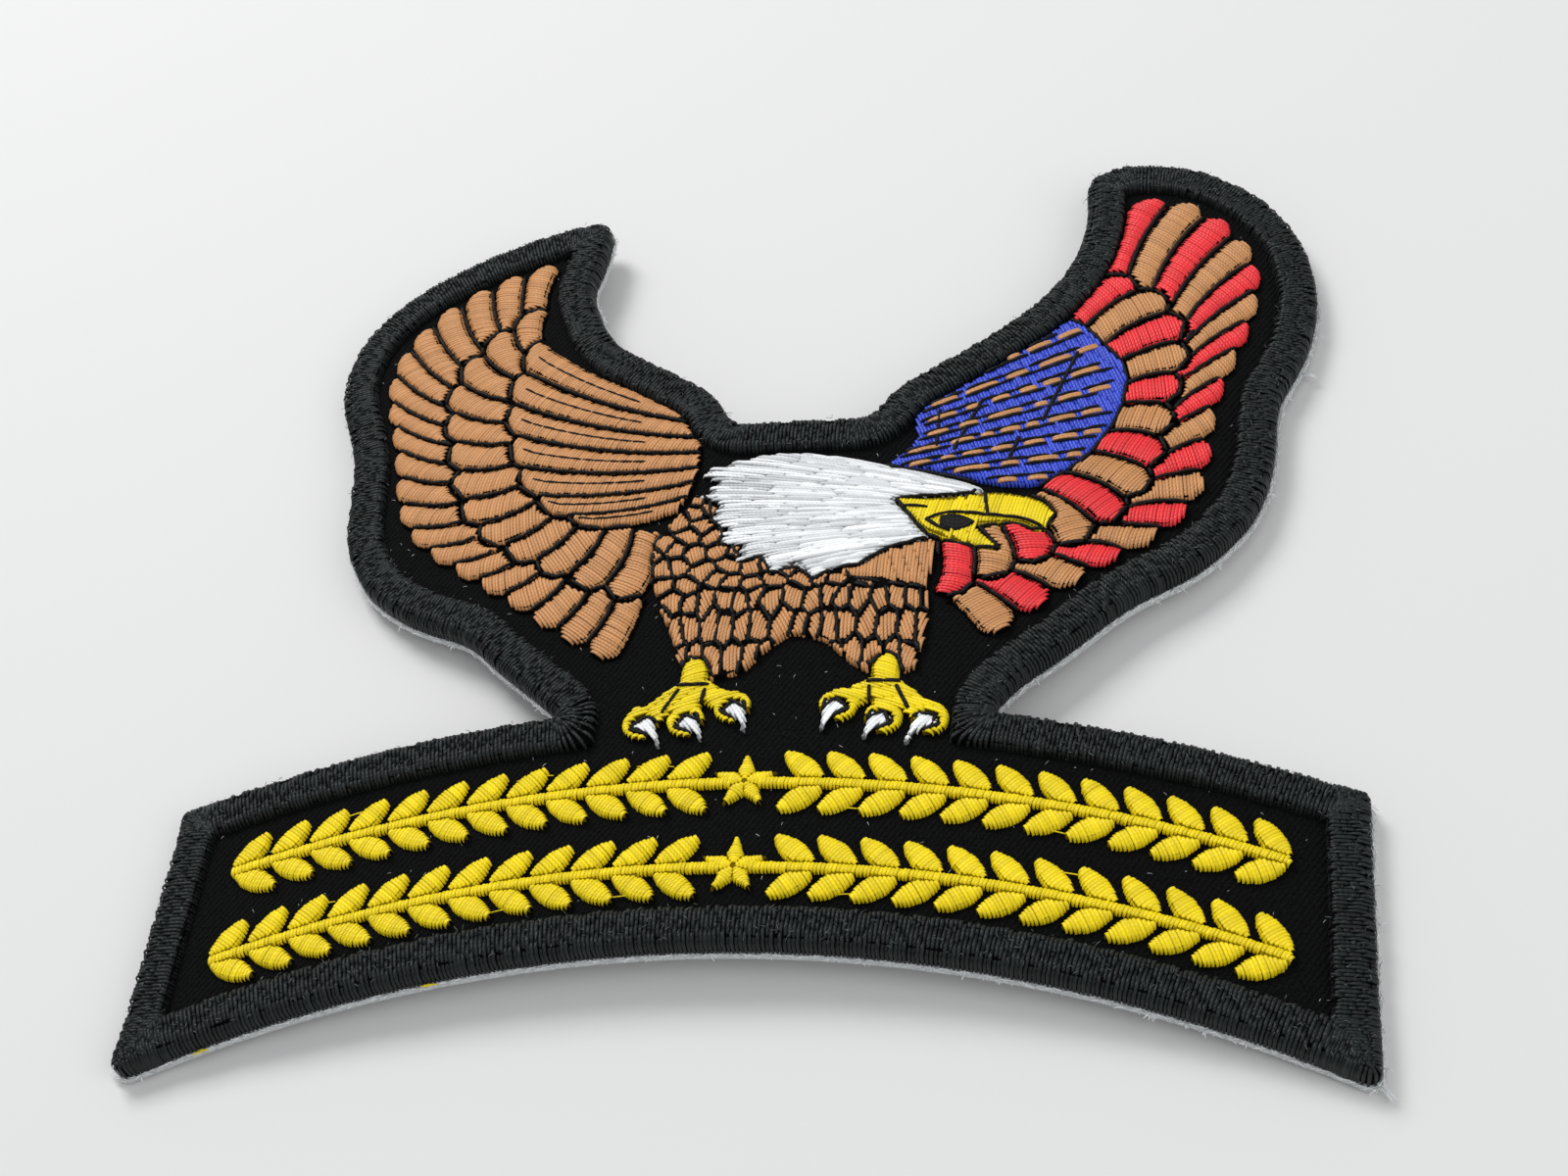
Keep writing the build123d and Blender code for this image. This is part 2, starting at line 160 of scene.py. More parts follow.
def thread(name, code, roughness=0.45, gloss=0.4, sheen=0.04):
    """Finish of one colour of embroidery thread."""
    material, tree, shader = new_material(
        name, Roughness=roughness, IOR=polyester_ior, Specular_IOR_Level=gloss,
        Sheen_Weight=sheen, Sheen_Roughness=0.4)
    shade = add(tree, "ShaderNodeAttribute", attribute_name="shade").outputs["Fac"]
    value = add(tree, "ShaderNodeMapRange",
                {"Value": shade, "To Min": darkest_stitch, "To Max": lightest_stitch})
    place = add(tree, "ShaderNodeTexCoord").outputs["Object"]
    dust = add(tree, "ShaderNodeTexNoise", {"Vector": place, "Scale": dust_patches, "Detail": 3.0})
    faded = add(tree, "ShaderNodeMapRange",
                {"Value": dust.outputs["Fac"], "To Min": 0.88, "To Max": 1.1})
    lit = add(tree, "ShaderNodeMath", {0: value.outputs["Result"], 1: faded.outputs["Result"]},
              operation="MULTIPLY")
    colour = add(tree, "ShaderNodeHueSaturation",
                 {"Color": linear(code), "Value": lit.outputs["Value"]})
    tree.links.new(colour.outputs["Color"], shader.inputs["Base Color"])

    around = add(tree, "ShaderNodeUVMap", uv_map="UVMap").outputs["UV"]
    apart = add(tree, "ShaderNodeSeparateXYZ", {"Vector": around})
    run = add(tree, "ShaderNodeAttribute", attribute_name="run").outputs["Fac"]
    along = add(tree, "ShaderNodeMath", {0: apart.outputs["X"], 1: run}, operation="MULTIPLY")
    turns = add(tree, "ShaderNodeMath", {0: along.outputs["Value"], 1: 1 / twist_length},
                operation="MULTIPLY")
    phase = add(tree, "ShaderNodeMath", {0: turns.outputs["Value"], 1: apart.outputs["Y"]},
                operation="ADD")
    angle = add(tree, "ShaderNodeMath", {0: phase.outputs["Value"], 1: 2 * pi},
                operation="MULTIPLY")
    plies = add(tree, "ShaderNodeMath", {0: angle.outputs["Value"]}, operation="SINE")
    twist = add(tree, "ShaderNodeBump", {"Height": plies.outputs["Value"], "Strength": 0.6,
                                         "Distance": twist_depth})
    tree.links.new(twist.outputs["Normal"], shader.inputs["Normal"])
    return material


# Slot, name and colour of each thread, and its roughness, gloss and sheen where they differ
finishes = {
    "brown": ("brown_thread", "polyester_thread_brown", "#C48B55"),
    "red": ("red_thread", "polyester_thread_red", "#E62A30"),
    "blue": ("blue_thread", "polyester_thread_blue", "#3149C8"),
    "white": ("white_thread", "polyester_thread_white", "#F2F4F5"),
    "yellow": ("yellow_thread", "polyester_thread_yellow", "#EFD600", 0.45, 0.3),
    "charcoal": ("charcoal_thread", "polyester_thread_charcoal", "#131B1A", 0.5, 0.22),
    "black": ("charcoal_thread", "polyester_thread_black", "#050506", 0.55, 0.15, 0.0),
    "fuzz": ("charcoal_thread", "polyester_fuzz_grey", "#6A7370", 0.6, 0.2, 0.0),
    "lint": ("white_thread", "cotton_lint_white", "#C9CDCE", 0.7, 0.2, 0.0),
    "fray": ("heat_seal_film", "stabiliser_fray_white", "#E4E7E7", 0.7, 0.2, 0.0),
}
threads = {key: (slot, thread(*finish)) for key, (slot, *finish) in finishes.items()}
# Matt underlays, darker than their threads: painted shade between the stitches, black where the
# gaps are black
shaded_underlay_codes = {"yellow": "#B79A00", "white": "#C9CDD0", "black": "#050506"}
shaded_underlays = {key: thread("polyester_underlay_shaded_" + key, code, roughness=0.9, gloss=0.05, sheen=0.0)
             for key, code in shaded_underlay_codes.items()}
print("threads", len(threads), "shaded_underlays", len(shaded_underlays))

# %% [markdown]
# One stitch is a short length of thread that comes up through the cloth, lies over the padding and
# goes down again. It is a five-sided bar that is bisected into a few lengths and bent by a formula.
# It has a few dozen faces, because it is laid thousands of times. Satin goes down to the cloth at
# both ends, edge at its start only, fill at neither, because it ends among other stitches. Running
# and thin are small ones that lie on others. The rim has taller ones, of which the outermost wraps
# the cut edge of the twill, down to the film. A hair or a fibre is a stray one, and a jump is an
# untrimmed thread between two shapes.

# %% Unit stitches
stitch_sides = 5
stitch_cuts = (-0.46, -0.34, 0.0, 0.34, 0.46)
end_slimness = 0.74


def mesh_of(bm, name):
    """Mesh of a finished bmesh, which is freed."""
    mesh = bpy.data.meshes.new(name)
    bm.to_mesh(mesh)
    bm.free()
    return mesh


def unit_stitch(name, top, first, last, bend, width, thickness, cuts=stitch_cuts):
    """A stitch one metre long along X: heights of its middle and of its two ends over the cloth."""
    bm = bmesh.new()
    bmesh.ops.create_cone(bm, cap_ends=True, segments=stitch_sides,
                          radius1=0.5, radius2=0.5, depth=1.0)
    bmesh.ops.rotate(bm, verts=bm.verts, matrix=Matrix.Rotation(radians(90), 3, "Y"))
    for x in cuts:
        bmesh.ops.bisect_plane(bm, geom=bm.verts[:] + bm.edges[:] + bm.faces[:],
                               plane_co=(x, 0, 0), plane_no=(1, 0, 0), dist=1e-5)
    layer = bm.loops.layers.uv.new("UVMap")
    for face in bm.faces:
        face.smooth = True
        for corner in face.loops:
            x, y, z = corner.vert.co
            corner[layer].uv = (x + 0.5, atan2(y, -z) / (2 * pi) + 0.5)
    for vert in bm.verts:
        x, y, z = vert.co
        reach = min(1.0, abs(2 * x))
        arch = (1 - reach**bend) ** (1 / bend)
        low = first if x < 0 else last
        slim = end_slimness + (1 - end_slimness) * arch
        vert.co.y = y * width * slim * mm
        vert.co.z = (z * thickness * slim + low + (top - low) * arch) * mm
    return bpy.data.objects.new(name, mesh_of(bm, name))


# Heights of middle, start and end in mm, squareness of the arch, width and thickness in mm
unit_sizes = {
    "satin": (0.73, 0.06, 0.06, 2.6, 0.42, 0.24),
    "edge": (0.73, 0.06, 0.60, 2.6, 0.42, 0.24),
    "fill": (0.73, 0.60, 0.60, 2.6, 0.42, 0.24),
    "running": (0.14, -0.14, -0.14, 2.2, 0.42, 0.30),
    "thin": (0.09, -0.14, -0.14, 2.2, 0.27, 0.24),
    "rim_wrap": (1.02, -0.88, 0.90, 2.4, 0.40, 0.24, (-0.46, -0.36, 0.1)),
    "rim_edge": (1.02, 0.06, 0.90, 2.4, 0.40, 0.24, (-0.42, -0.2, 0.3)),
    "rim_fill": (1.02, 0.90, 0.90, 2.4, 0.40, 0.24, (-0.35, 0.35)),
    "hair": (0.10, 0.0, 0.05, 1.6, 0.06, 0.05, (-0.3, 0.2)),
    "fibre": (0.16, 0.0, 0.04, 1.8, 0.11, 0.10, (-0.3, 0.1)),
    "jump": (0.30, 0.10, 0.10, 1.7, 0.14, 0.13),
}
stitch_units = {kind: unit_stitch(kind, *sizes) for kind, sizes in unit_sizes.items()}
print("faces of a stitch", len(stitch_units["satin"].data.polygons))

# %% [markdown]
# Stitches follow the outline of their field, and the frame has those outlines: each is the edge of
# a solid's raised face. A copy of the solid's mesh is merged, because its triangles are loose, and
# all but its raised faces are deleted.

# %% The raised faces of a node
raised = 0.6 * mm
weld = 0.002 * mm


def merged(name):
    """A CAD node's mesh as a bmesh, its doubled vertices merged."""
    bm = bmesh.new()
    bm.from_mesh(nodes[name].data)
    bmesh.ops.remove_doubles(bm, verts=bm.verts, dist=weld)
    return bm


def face_copy(name, least=twill_top + raised):
    """The upper faces of a CAD node, from a height on, as a bmesh of their own."""
    bm = merged(name)
    low = [f for f in bm.faces if f.normal.z < 0.5 or height_of(f.calc_center_median()) < least]
    bmesh.ops.delete(bm, geom=low, context="FACES")
    return bm


# %% [markdown]
# What is left falls into islands, one for each feather. An island is found face by face, from one
# neighbour to the next. Its open edges, put in order, are its loops: the outline, and the edge of
# each hole in it.

# %% The outlines of its islands
smallest_island = 0.3 * mm**2


def open_loops(faces):
    """Outlines round some faces, as arrays of flat points, the longest one first."""
    inside = set(faces)
    following = {}
    for face in faces:
        for corner in face.loops:
            if not any(other in inside for other in corner.edge.link_faces if other != face):
                following[corner.vert] = corner.link_loop_next.vert
    loops = []
    while following:
        start, vert = following.popitem()
        points = [start.co.xy]
        while vert in following:
            points.append(vert.co.xy)
            vert = following.pop(vert)
        loops.append(np.array(points))
    return sorted(loops, key=lambda loop: -np.ptp(loop, axis=0).sum())


def place_of(loops):
    """Place of an island, to sort by."""
    return [round(value, 5) for value in loops[0].mean(axis=0)]


def islands_of(bm):
    """Loops of each connected island of faces, in order of place."""
    bm.faces.ensure_lookup_table()
    waiting = dict.fromkeys(bm.faces)
    found = []
    while waiting:
        group, edge = [], [waiting.popitem()[0]]
        while edge:
            face = edge.pop()
            group.append(face)
            for side in face.edges:
                for other in side.link_faces:
                    if other in waiting:
                        del waiting[other]
                        edge.append(other)
        if sum(face.calc_area() for face in group) > smallest_island:
            found.append(open_loops(group))
    return sorted(found, key=place_of)


def islands(name, least=twill_top + raised):
    """Loops of each raised island of a CAD node."""
    bm = face_copy(name, least)
    found = islands_of(bm)
    bm.free()
    return found


print("feathers in the left row of coverts", len(islands("left_coverts")))

# %% [markdown]
# A machine fills a field with rows of thread that lie side by side. A row's direction is chosen for
# each field: across a feather, out from the beak on the head. So the outline is first taken to a
# frame in which the rows run along X, either turned by an angle or spread out like a fan round a
# point. Each of these is a pair of functions, there and back.


# %% The direction of rows
def straight(angle):
    """Turn flat points so that rows at an angle run along X, and back."""
    turn = np.array([[cos(angle), -sin(angle)], [sin(angle), cos(angle)]])
    return (lambda points: points @ turn), (lambda points: points @ turn.T)


def fan(focus, aim, reach):
    """Take rows that spread from a focus to level lines, true to size at a reach, and back."""
    focus = np.array(focus)

    def to_rows(points):
        away = points - focus
        angle = np.arctan2(away[:, 1], away[:, 0]) - aim
        angle = (angle + pi) % (2 * pi) - pi
        return np.column_stack([np.hypot(away[:, 0], away[:, 1]), angle * reach])

    def to_plan(points):
        angle = points[:, 1] / reach + aim
        return focus + np.column_stack([points[:, 0] * np.cos(angle), points[:, 0] * np.sin(angle)])

    return to_rows, to_plan


# %% [markdown]
# In that frame a row is a level line, and the crossings with the outline are its two ends, a little
# ragged, as on worn embroidery. A row longer than one stitch is cut at staggered places, so that no
# groove runs through the field, or by chance where the stitches stand for plumage.

# %% Rows of stitches in an outline
thread_pitch = 0.34 * mm
shortest = 0.45 * mm
even_ends = 0.07 * mm, 0.07 * mm
shortest_share, uncut_share = 0.3, 1.25
raggedness, row_wander = (-0.2, 1.0), 0.03 * mm
stray_shares, most_cuts = (0.45, 1.0), 8
rng = np.random.default_rng(31)


def rows_of(loops, to_rows, pitch):
    """Each row inside an outline: its number, its level and its two ends."""
    local = [to_rows(loop) for loop in loops]
    low = min(loop[:, 1].min() for loop in local)
    high = max(loop[:, 1].max() for loop in local)
    for number, level in enumerate(np.arange(low + pitch / 2, high, pitch)):
        crossings = []
        for loop in local:
            after = np.roll(loop, -1, axis=0)
            hit = (loop[:, 1] <= level) != (after[:, 1] <= level)
            a, b = loop[hit], after[hit]
            share = (level - a[:, 1]) / (b[:, 1] - a[:, 1])
            crossings.extend(a[:, 0] + share * (b[:, 0] - a[:, 0]))
        crossings.sort()
        for start, end in zip(crossings[0::2], crossings[1::2]):
            yield number, level, start, end


def steady_cuts(number, start, end, longest):
    """Places to cut a row so that the cuts of four rows are staggered."""
    first = ceil(start / longest)
    count = ceil((end - start) / longest)
    places = (np.arange(first - 1, first + count + 1) + number % 4 / 4) * longest
    margin = shortest_share * longest
    return [x for x in places if start + margin < x < end - margin]


def stray_cuts(number, start, end, longest):
    """Places to cut a row by chance, for plumage that shows no pattern."""
    places = start + np.cumsum(rng.uniform(*stray_shares, most_cuts)) * longest
    return [x for x in places if x < end - shortest_share * longest]


def fill(loops, rows, longest, ragged=even_ends, pitch=thread_pitch, cutting=steady_cuts):
    """Stitches that fill an outline, by kind: rows of ax, ay, bx, by in the flat drawing."""
    to_rows, to_plan = rows
    made = {"satin": [], "edge": [], "fill": []}
    for number, level, start, end in rows_of(loops, to_rows, pitch):
        start -= rng.uniform(*raggedness) * ragged[0]
        end += rng.uniform(*raggedness) * ragged[1]
        if end - start < shortest:
            continue
        cuts = cutting(number, start, end, longest) if end - start > uncut_share * longest else []
        level += rng.uniform(-row_wander, row_wander)
        stops = to_plan(np.array([(x, level) for x in (start, *cuts, end)]))
        if not cuts:
            made["satin"].append((*stops[0], *stops[1]))
            continue
        made["edge"] += [(*stops[0], *stops[1]), (*stops[-1], *stops[-2])]
        made["fill"] += [(*a, *b) for a, b in zip(stops[1:-2], stops[2:-1])]
    return made


def together(many):
    """One set of stitches out of many."""
    whole = {}
    for made in many:
        for kind, stitches in made.items():
            whole.setdefault(kind, []).extend(stitches)
    return whole


# %% [markdown]
# Under the stitches lies a padding, which raises them and closes the gaps between threads. It is
# the node's own solid, merged, drawn in a little at its sides and pressed down, so that it never
# shows past its stitches. It stands for the underlay that a machine sews first, a matt thread. Its
# colour is painted shade between the stitches: a darker yellow or grey in the yellow and white
# shapes, dimmed further by its shade of 0, and black elsewhere, as the gaps between feathers are.

# %% The padding under a field
padding_inset = 0.22 * mm
padding_height = 0.72


def padding(name):
    """Mesh of a CAD node, drawn in at its sides and pressed down on the twill."""
    bm = merged(name)
    sides = {}
    for vert in bm.verts:
        outward = sum((f.normal for f in vert.link_faces if abs(f.normal.z) < 0.5), Vector())
        outward.z = 0
        sides[vert] = outward.normalized() if outward.length > 1e-6 else Vector()
    for vert, outward in sides.items():
        height = height_of(vert.co)
        pressed = twill_top + (height - twill_top) * padding_height
        flat = vert.co - outward * padding_inset
        vert.co = on_patch(flat.x, flat.y, pressed)
    bm.loops.layers.uv.new("UVMap")
    return mesh_of(bm, name + "_padding")


# %% [markdown]
# Laying thousands of stitches is work for Geometry Nodes. Each stitch is a point that carries its
# turn and its size, and Instance on Points sets a unit stitch on every one. The instances are
# realized and joined to the padding, so the piece ends as one plain mesh.


# %% A node group that lays stitches
def laying_group():
    """Geometry Nodes: unit stitches on points, realized and joined to the mesh they are laid on."""
    tree = bpy.data.node_groups.new("lay_stitches", "GeometryNodeTree")
    for name, kind in (("Geometry", "Geometry"), ("Points", "Object"), ("Stitch", "Object")):
        tree.interface.new_socket(name, in_out="INPUT", socket_type="NodeSocket" + kind)
    tree.interface.new_socket("Geometry", in_out="OUTPUT", socket_type="NodeSocketGeometry")
    given = add(tree, "NodeGroupInput")
    points, stitch = (add(tree, "GeometryNodeObjectInfo",
                          {"Object": given.outputs[name]}).outputs["Geometry"]
                      for name in ("Points", "Stitch"))
    turn, size = (add(tree, "GeometryNodeInputNamedAttribute", {"Name": name},
                      data_type="FLOAT_VECTOR").outputs["Attribute"] for name in ("turn", "size"))
    facing = add(tree, "FunctionNodeEulerToRotation", {"Euler": turn}).outputs["Rotation"]
    laid = add(tree, "GeometryNodeInstanceOnPoints",
               {"Points": points, "Instance": stitch, "Rotation": facing, "Scale": size})
    real = add(tree, "GeometryNodeRealizeInstances", {"Geometry": laid.outputs["Instances"]})
    joined = add(tree, "GeometryNodeJoinGeometry", {"Geometry": real.outputs["Geometry"]})
    tree.links.new(given.outputs["Geometry"], joined.inputs["Geometry"])
    add(tree, "NodeGroupOutput", {"Geometry": joined.outputs["Geometry"]})
    return tree


lay_stitches = laying_group()
input_keys = {item.name: item.identifier for item in lay_stitches.interface.items_tree
              if item.in_out == "INPUT"}
print("inputs of the node group", list(input_keys))

# %% [markdown]
# A stitch's point stands over the middle of its two ends on the drawing. Its turn is its heading
# there, leant with the camber, and its size stretches the unit stitch to its length. Height, width
# and shade vary a little by chance, because no two stitches of real embroidery lie quite alike.

# %% Points for stitches
lift_wander = 0.025 * mm
thinnest, thickest = 0.9, 1.08


def stitch_points(name, stitches, height, shades):
    """A point for each stitch, with its turn, size, shade and length."""
    ends = np.array(stitches)
    middle = (ends[:, :2] + ends[:, 2:]) / 2
    run = np.hypot(ends[:, 2] - ends[:, 0], ends[:, 3] - ends[:, 1])
    heading = np.arctan2(ends[:, 3] - ends[:, 1], ends[:, 2] - ends[:, 0])
    lean = np.arcsin(middle[:, 0] / camber_radius)
    lift = rng.uniform(-lift_wander, lift_wander, len(run))
    places = [on_patch(x, y, twill_top + height + up) for (x, y), up in zip(middle, lift)]
    turns = [(Matrix.Rotation(tilt, 3, "Y") @ Matrix.Rotation(angle, 3, "Z")).to_euler()
             for tilt, angle in zip(lean, heading)]
    width = rng.uniform(thinnest, thickest, len(run))
    mesh = bpy.data.meshes.new(name)
    mesh.from_pydata(places, [], [])
    columns = {
        "turn": np.array(turns),
        "size": np.column_stack([run, width, np.ones(len(run))]),
        "shade": rng.uniform(*shades, len(run)),
        "run": run,
    }
    for key, values in columns.items():
        kind, field = ("FLOAT_VECTOR", "vector") if values.ndim == 2 else ("FLOAT", "value")
        attribute = mesh.attributes.new(key, kind, "POINT")
        attribute.data.foreach_set(field, values.astype(np.float32).ravel())
    return bpy.data.objects.new(name, mesh)


# %% [markdown]
# A piece starts as its padding, or as an empty mesh where it has none. One modifier for each kind
# of stitch lays them, and the mesh that comes out is kept. Every stitch of a padded piece has a
# shade above 0 and the padding has none, which tells the two apart when the padding gets its matt
# finish.


# %% A finished piece of embroidery
def colour_padding(mesh, material):
    """Give the faces of the padding, whose shade is 0, a material of their own."""
    mesh.materials.append(material)
    shade = np.empty(len(mesh.vertices), np.float32)
    corners = np.empty(len(mesh.loops), np.int32)
    first = np.empty(len(mesh.polygons), np.int32)
    mesh.attributes["shade"].data.foreach_get("value", shade)
    mesh.loops.foreach_get("vertex_index", corners)
    mesh.polygons.foreach_get("loop_start", first)
    mesh.polygons.foreach_set("material_index", (shade[corners[first]] == 0).astype(np.int32))


def in_scene(name, data):
    """A new object, linked to the scene."""
    thing = bpy.data.objects.new(name, data)
    bpy.context.scene.collection.objects.link(thing)
    return thing


def work(name, made, colour, replaced=(), base=None, height=0.0, shades=(0.72, 1.0)):
    """Lay a piece: stitches of one colour, over a padding where there is one."""
    piece = in_scene(name, base or bpy.data.meshes.new(name))
    helpers = []
    for kind, stitches in made.items():
        if not stitches:
            continue
        points = stitch_points(f"{name}_{kind}", stitches, height, shades)
        modifier = piece.modifiers.new(kind, "NODES")
        modifier.node_group = lay_stitches
        modifier[input_keys["Points"]] = points
        modifier[input_keys["Stitch"]] = stitch_units[kind]
        helpers.append(points)
    depsgraph = bpy.context.evaluated_depsgraph_get()
    finished = bpy.data.meshes.new_from_object(
        piece.evaluated_get(depsgraph), preserve_all_data_layers=True, depsgraph=depsgraph)
    piece.modifiers.clear()
    piece.data = finished
    for helper in helpers:
        bpy.data.objects.remove(helper)
    slot, material = threads[colour]
    finished.materials.clear()
    finished.materials.append(material)
    if base:
        # The padding's dark matt underlay is painted shade between the stitches
        colour_padding(finished, shaded_underlays.get(colour, shaded_underlays["black"]))
    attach(piece, "root")
    if replaced:
        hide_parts(*replaced)
    triangles = sum(len(p.vertices) - 2 for p in finished.polygons)
    print(name, "stitches", sum(map(len, made.values())), "triangles", triangles)


def work_field(node, rows, longest, colour, ragged=even_ends):
    """A field of embroidery that stands for a CAD node, its rows chosen for each island."""
    outlines = islands(node)
    made = together(fill(loops, rows(loops), longest, ragged) for loops in outlines)
    work(node + "_stitches", made, colour, [node], padding(node))
    return outlines


# %% [markdown]
# The drawing is given in shares: across, of half the patch's width from its middle, and up, of the
# eagle's height from the banner's crown. The head is worked in long white strands that spread from
# the beak to the ragged neck and are cut by chance, so that they read as plumage. A few looser
# strands lie over them. The beak has short rows across its length.

# %% Head and beak
eagle_height = 72.8 * mm
crown = -17.2 * mm


def spot(across, up):
    """Flat place of a point of the drawing."""
    return np.array((across * half_width, crown + up * eagle_height))


beak_focus = spot(0.56, 0.31)
head_rows = fan(beak_focus, radians(176), 34 * mm)
strand, neck_ends = 8.0 * mm, (0.1 * mm, 0.5 * mm)
loose_strand, loose_ends, loose_pitch = 4.5 * mm, (0.1 * mm, 0.9 * mm), 1.1 * mm
outlines = {"head": islands("head")}
laid = [fill(loops, head_rows, strand, neck_ends, cutting=stray_cuts) for loops in outlines["head"]]
for loops in outlines["head"]:
    loose = fill(loops, head_rows, loose_strand, loose_ends, loose_pitch, stray_cuts)
    laid.append({"satin": [stitch for stitches in loose.values() for stitch in stitches]})
work("head_stitches", together(laid), "white", ["head"], padding("head"), shades=(0.3, 1.0))
beak_rows, beak_stitch = straight(radians(78)), 4.5 * mm
outlines["beak"] = work_field("beak", lambda loops: beak_rows, beak_stitch, "yellow")

# %% [markdown]
# The breast and the legs are covered with small scales of brown thread, each stitched in a
# direction of its own and parted by a thin black line. They are the cells round a set of spots:
# each cell is a copy of the breast's face, bisected halfway to every spot nearby. The spots stand
# in staggered rows, nudged by chance. On the legs the scales lengthen into feathers: there the rows
# are farther apart and the bisecting planes are leant over. One broad feather lies under the
# throat.

# %% Scales of the breast
scale_width, leg_width = 2.2 * mm, 1.75 * mm
breast_row, leg_row = 1.9 * mm, 4.0 * mm
leg_top = spot(0, 0.175)[1]
leg_stretch = 2.3
scale_gap = 0.34 * mm
scale_nudge = 0.3
scale_lean, scale_turn, scale_stitch = 98, 24, 3.4 * mm
throat, throat_slope = spot(0.125, 0.205), radians(-11)


def scale_spots(low, high):
    """Spots in staggered rows from the top of a box to its foot."""
    spots = []
    y, number = high.y, 0
    while y > low.y - leg_row:
        width = scale_width if y > leg_top else leg_width
        for x in np.arange(low.x - width, high.x + width, width):
            nudge = rng.uniform(-scale_nudge, scale_nudge, 2) * width
            spots.append((x + number % 2 * width / 2 + nudge[0], y + nudge[1]))
        y -= breast_row if y > leg_top else leg_row
        number += 1
    return np.array(spots)


def kept(bm, planes):
    """Islands of a copy of a face, cut by planes: a point of each, and the side that goes."""
    part = bm.copy()
    for point, drop in planes:
        bmesh.ops.bisect_plane(part, geom=part.verts[:] + part.edges[:] + part.faces[:], dist=1e-6,
                               plane_co=point, plane_no=drop, clear_outer=True)
    found = islands_of(part)
    part.free()
    return found


def halfway(here, there, gap):
    """The plane that bounds the cell of one spot towards another, leant over on the legs."""
    middle, across = (here + there) / 2, there - here
    if middle[1] < leg_top:
        across = across / (1, leg_stretch**2)
    across = across / np.hypot(*across)
    return Vector((*(middle - across * gap / 2), 0)), Vector((*across, 0))


def breast_cells(spots, gap):
    """Loops of the broad feather and of the cell round each spot, parted by a gap."""
    bm = face_copy("breast")
    fold = Vector((-sin(throat_slope), cos(throat_slope), 0))
    point = Vector((*throat, 0))
    found = kept(bm, [(point, -fold), (point, Vector((-1, 0, 0)))])
    for here in spots:
        far = np.hypot(*(spots - here).T)
        planes = [halfway(here, there, gap) for there in spots[(far > 0) & (far < 4 * scale_width)]]
        if here[0] > throat[0]:
            planes.append((point - fold * gap, fold))
        found.extend(kept(bm, planes))
    bm.free()
    return found


outlines["breast"] = breast_cells(scale_spots(*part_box("breast")), scale_gap)
made = []
for loops in outlines["breast"]:
    rows = straight(radians(scale_lean + rng.uniform(-scale_turn, scale_turn)))
    made.append(fill(loops, rows, scale_stitch))
work("breast_stitches", together(made), "brown", ["breast"], padding("breast"))
print("scales", len(made))

# %% [markdown]
# The blue shoulder is crossed by rows that fan out from its lower corner. Every fifth row holds tan
# dashes, which lie on the blue like the running stitches that they are. The broken black rows
# beside them and four short folds come later with the other black lines, so here they are only
# noted.

# %% Blue shoulder with tan dashes
shoulder_focus = spot(-0.25, 0.315)
shoulder_rows = fan(shoulder_focus, radians(24), 46 * mm)
line_pitch = 0.54 * mm
lines_in_band = 5
dash_lengths, dash_gap, dash_twin = (1.4 * mm, 4.2 * mm), 0.8 * mm, 0.13 * mm
line_lengths, line_gap, line_step = (3.0 * mm, 8.0 * mm), 0.4 * mm, 0.3 * mm
gap_shares = 0.6, 1.4
wave_height, wave_length = 0.07 * mm, 9.0 * mm
edge_air = 0.5 * mm
shoulder_folds = [
    [(0.270, 0.500), (0.269, 0.430)],
    [(0.347, 0.520), (0.300, 0.424)],
    [(0.514, 0.609), (0.492, 0.559), (0.455, 0.475)],
    [(0.416, 0.446), (0.398, 0.402)],
]


def broken(start, end, lengths, gap):
    """Cut a row by chance into lengths between two sizes, with gaps between them."""
    here = start + rng.uniform(0, 1) * gap
    while here < end - lengths[0]:
        stop = min(end, here + rng.uniform(*lengths))
        yield here, stop
        here = stop + rng.uniform(*gap_shares) * gap


blue_rows, blue_stitch = straight(radians(112)), 3.0 * mm
outlines["blue_shoulder"] = work_field(
    "blue_shoulder", lambda loops: blue_rows, blue_stitch, "blue")
drawn_lines = [np.array([spot(*point) for point in line]) for line in shoulder_folds]
dashes = []
to_rows, to_plan = shoulder_rows
for loops in outlines["blue_shoulder"]:
    for number, level, start, end in rows_of(loops, to_rows, line_pitch):
        start, end = start + edge_air, end - edge_air
        if number % lines_in_band == 1:
            for a, b in broken(start, end, dash_lengths, dash_gap):
                for aside in (-dash_twin, dash_twin):
                    ends = to_plan(np.array([(a, level + aside), (b, level + aside)]))
                    dashes.append((*ends[0], *ends[1]))
        elif number % lines_in_band in (0, 2):
            for a, b in broken(start, end, line_lengths, line_gap):
                places = np.arange(a, b, line_step)
                wave = level + wave_height * np.sin(places * 2 * pi / wave_length + number)
                drawn_lines.append(to_plan(np.column_stack([places, wave])))
field_top = 0.74 * mm
work("tan_dash_stitches", {"running": dashes}, "brown", height=field_top)
print("dashes", len(dashes) // 2, "black rows", len(drawn_lines))

# %% [markdown]
# A feather is worked in satin: each stitch crosses the feather from side to side, at a slight
# slant. The feather's own line is found from its outline, as the direction in which the outline is
# longest, unless most of the feather is covered and it is too short to tell. Then the line from the
# wing's elbow to the feather serves.

# %% The two wings
def long_line(outline):
    """Direction in which an outline is longest, and how many times longer than wide it is."""
    spread, lines = np.linalg.eigh(np.cov((outline - outline.mean(axis=0)).T))
    return lines[:, 1], sqrt(spread[1] / spread[0])


elbows = {"left": np.array((-20, 17.6)) * mm, "right": np.array((21, 18.4)) * mm}
slant = radians(-14)
telling_shape = 1.5


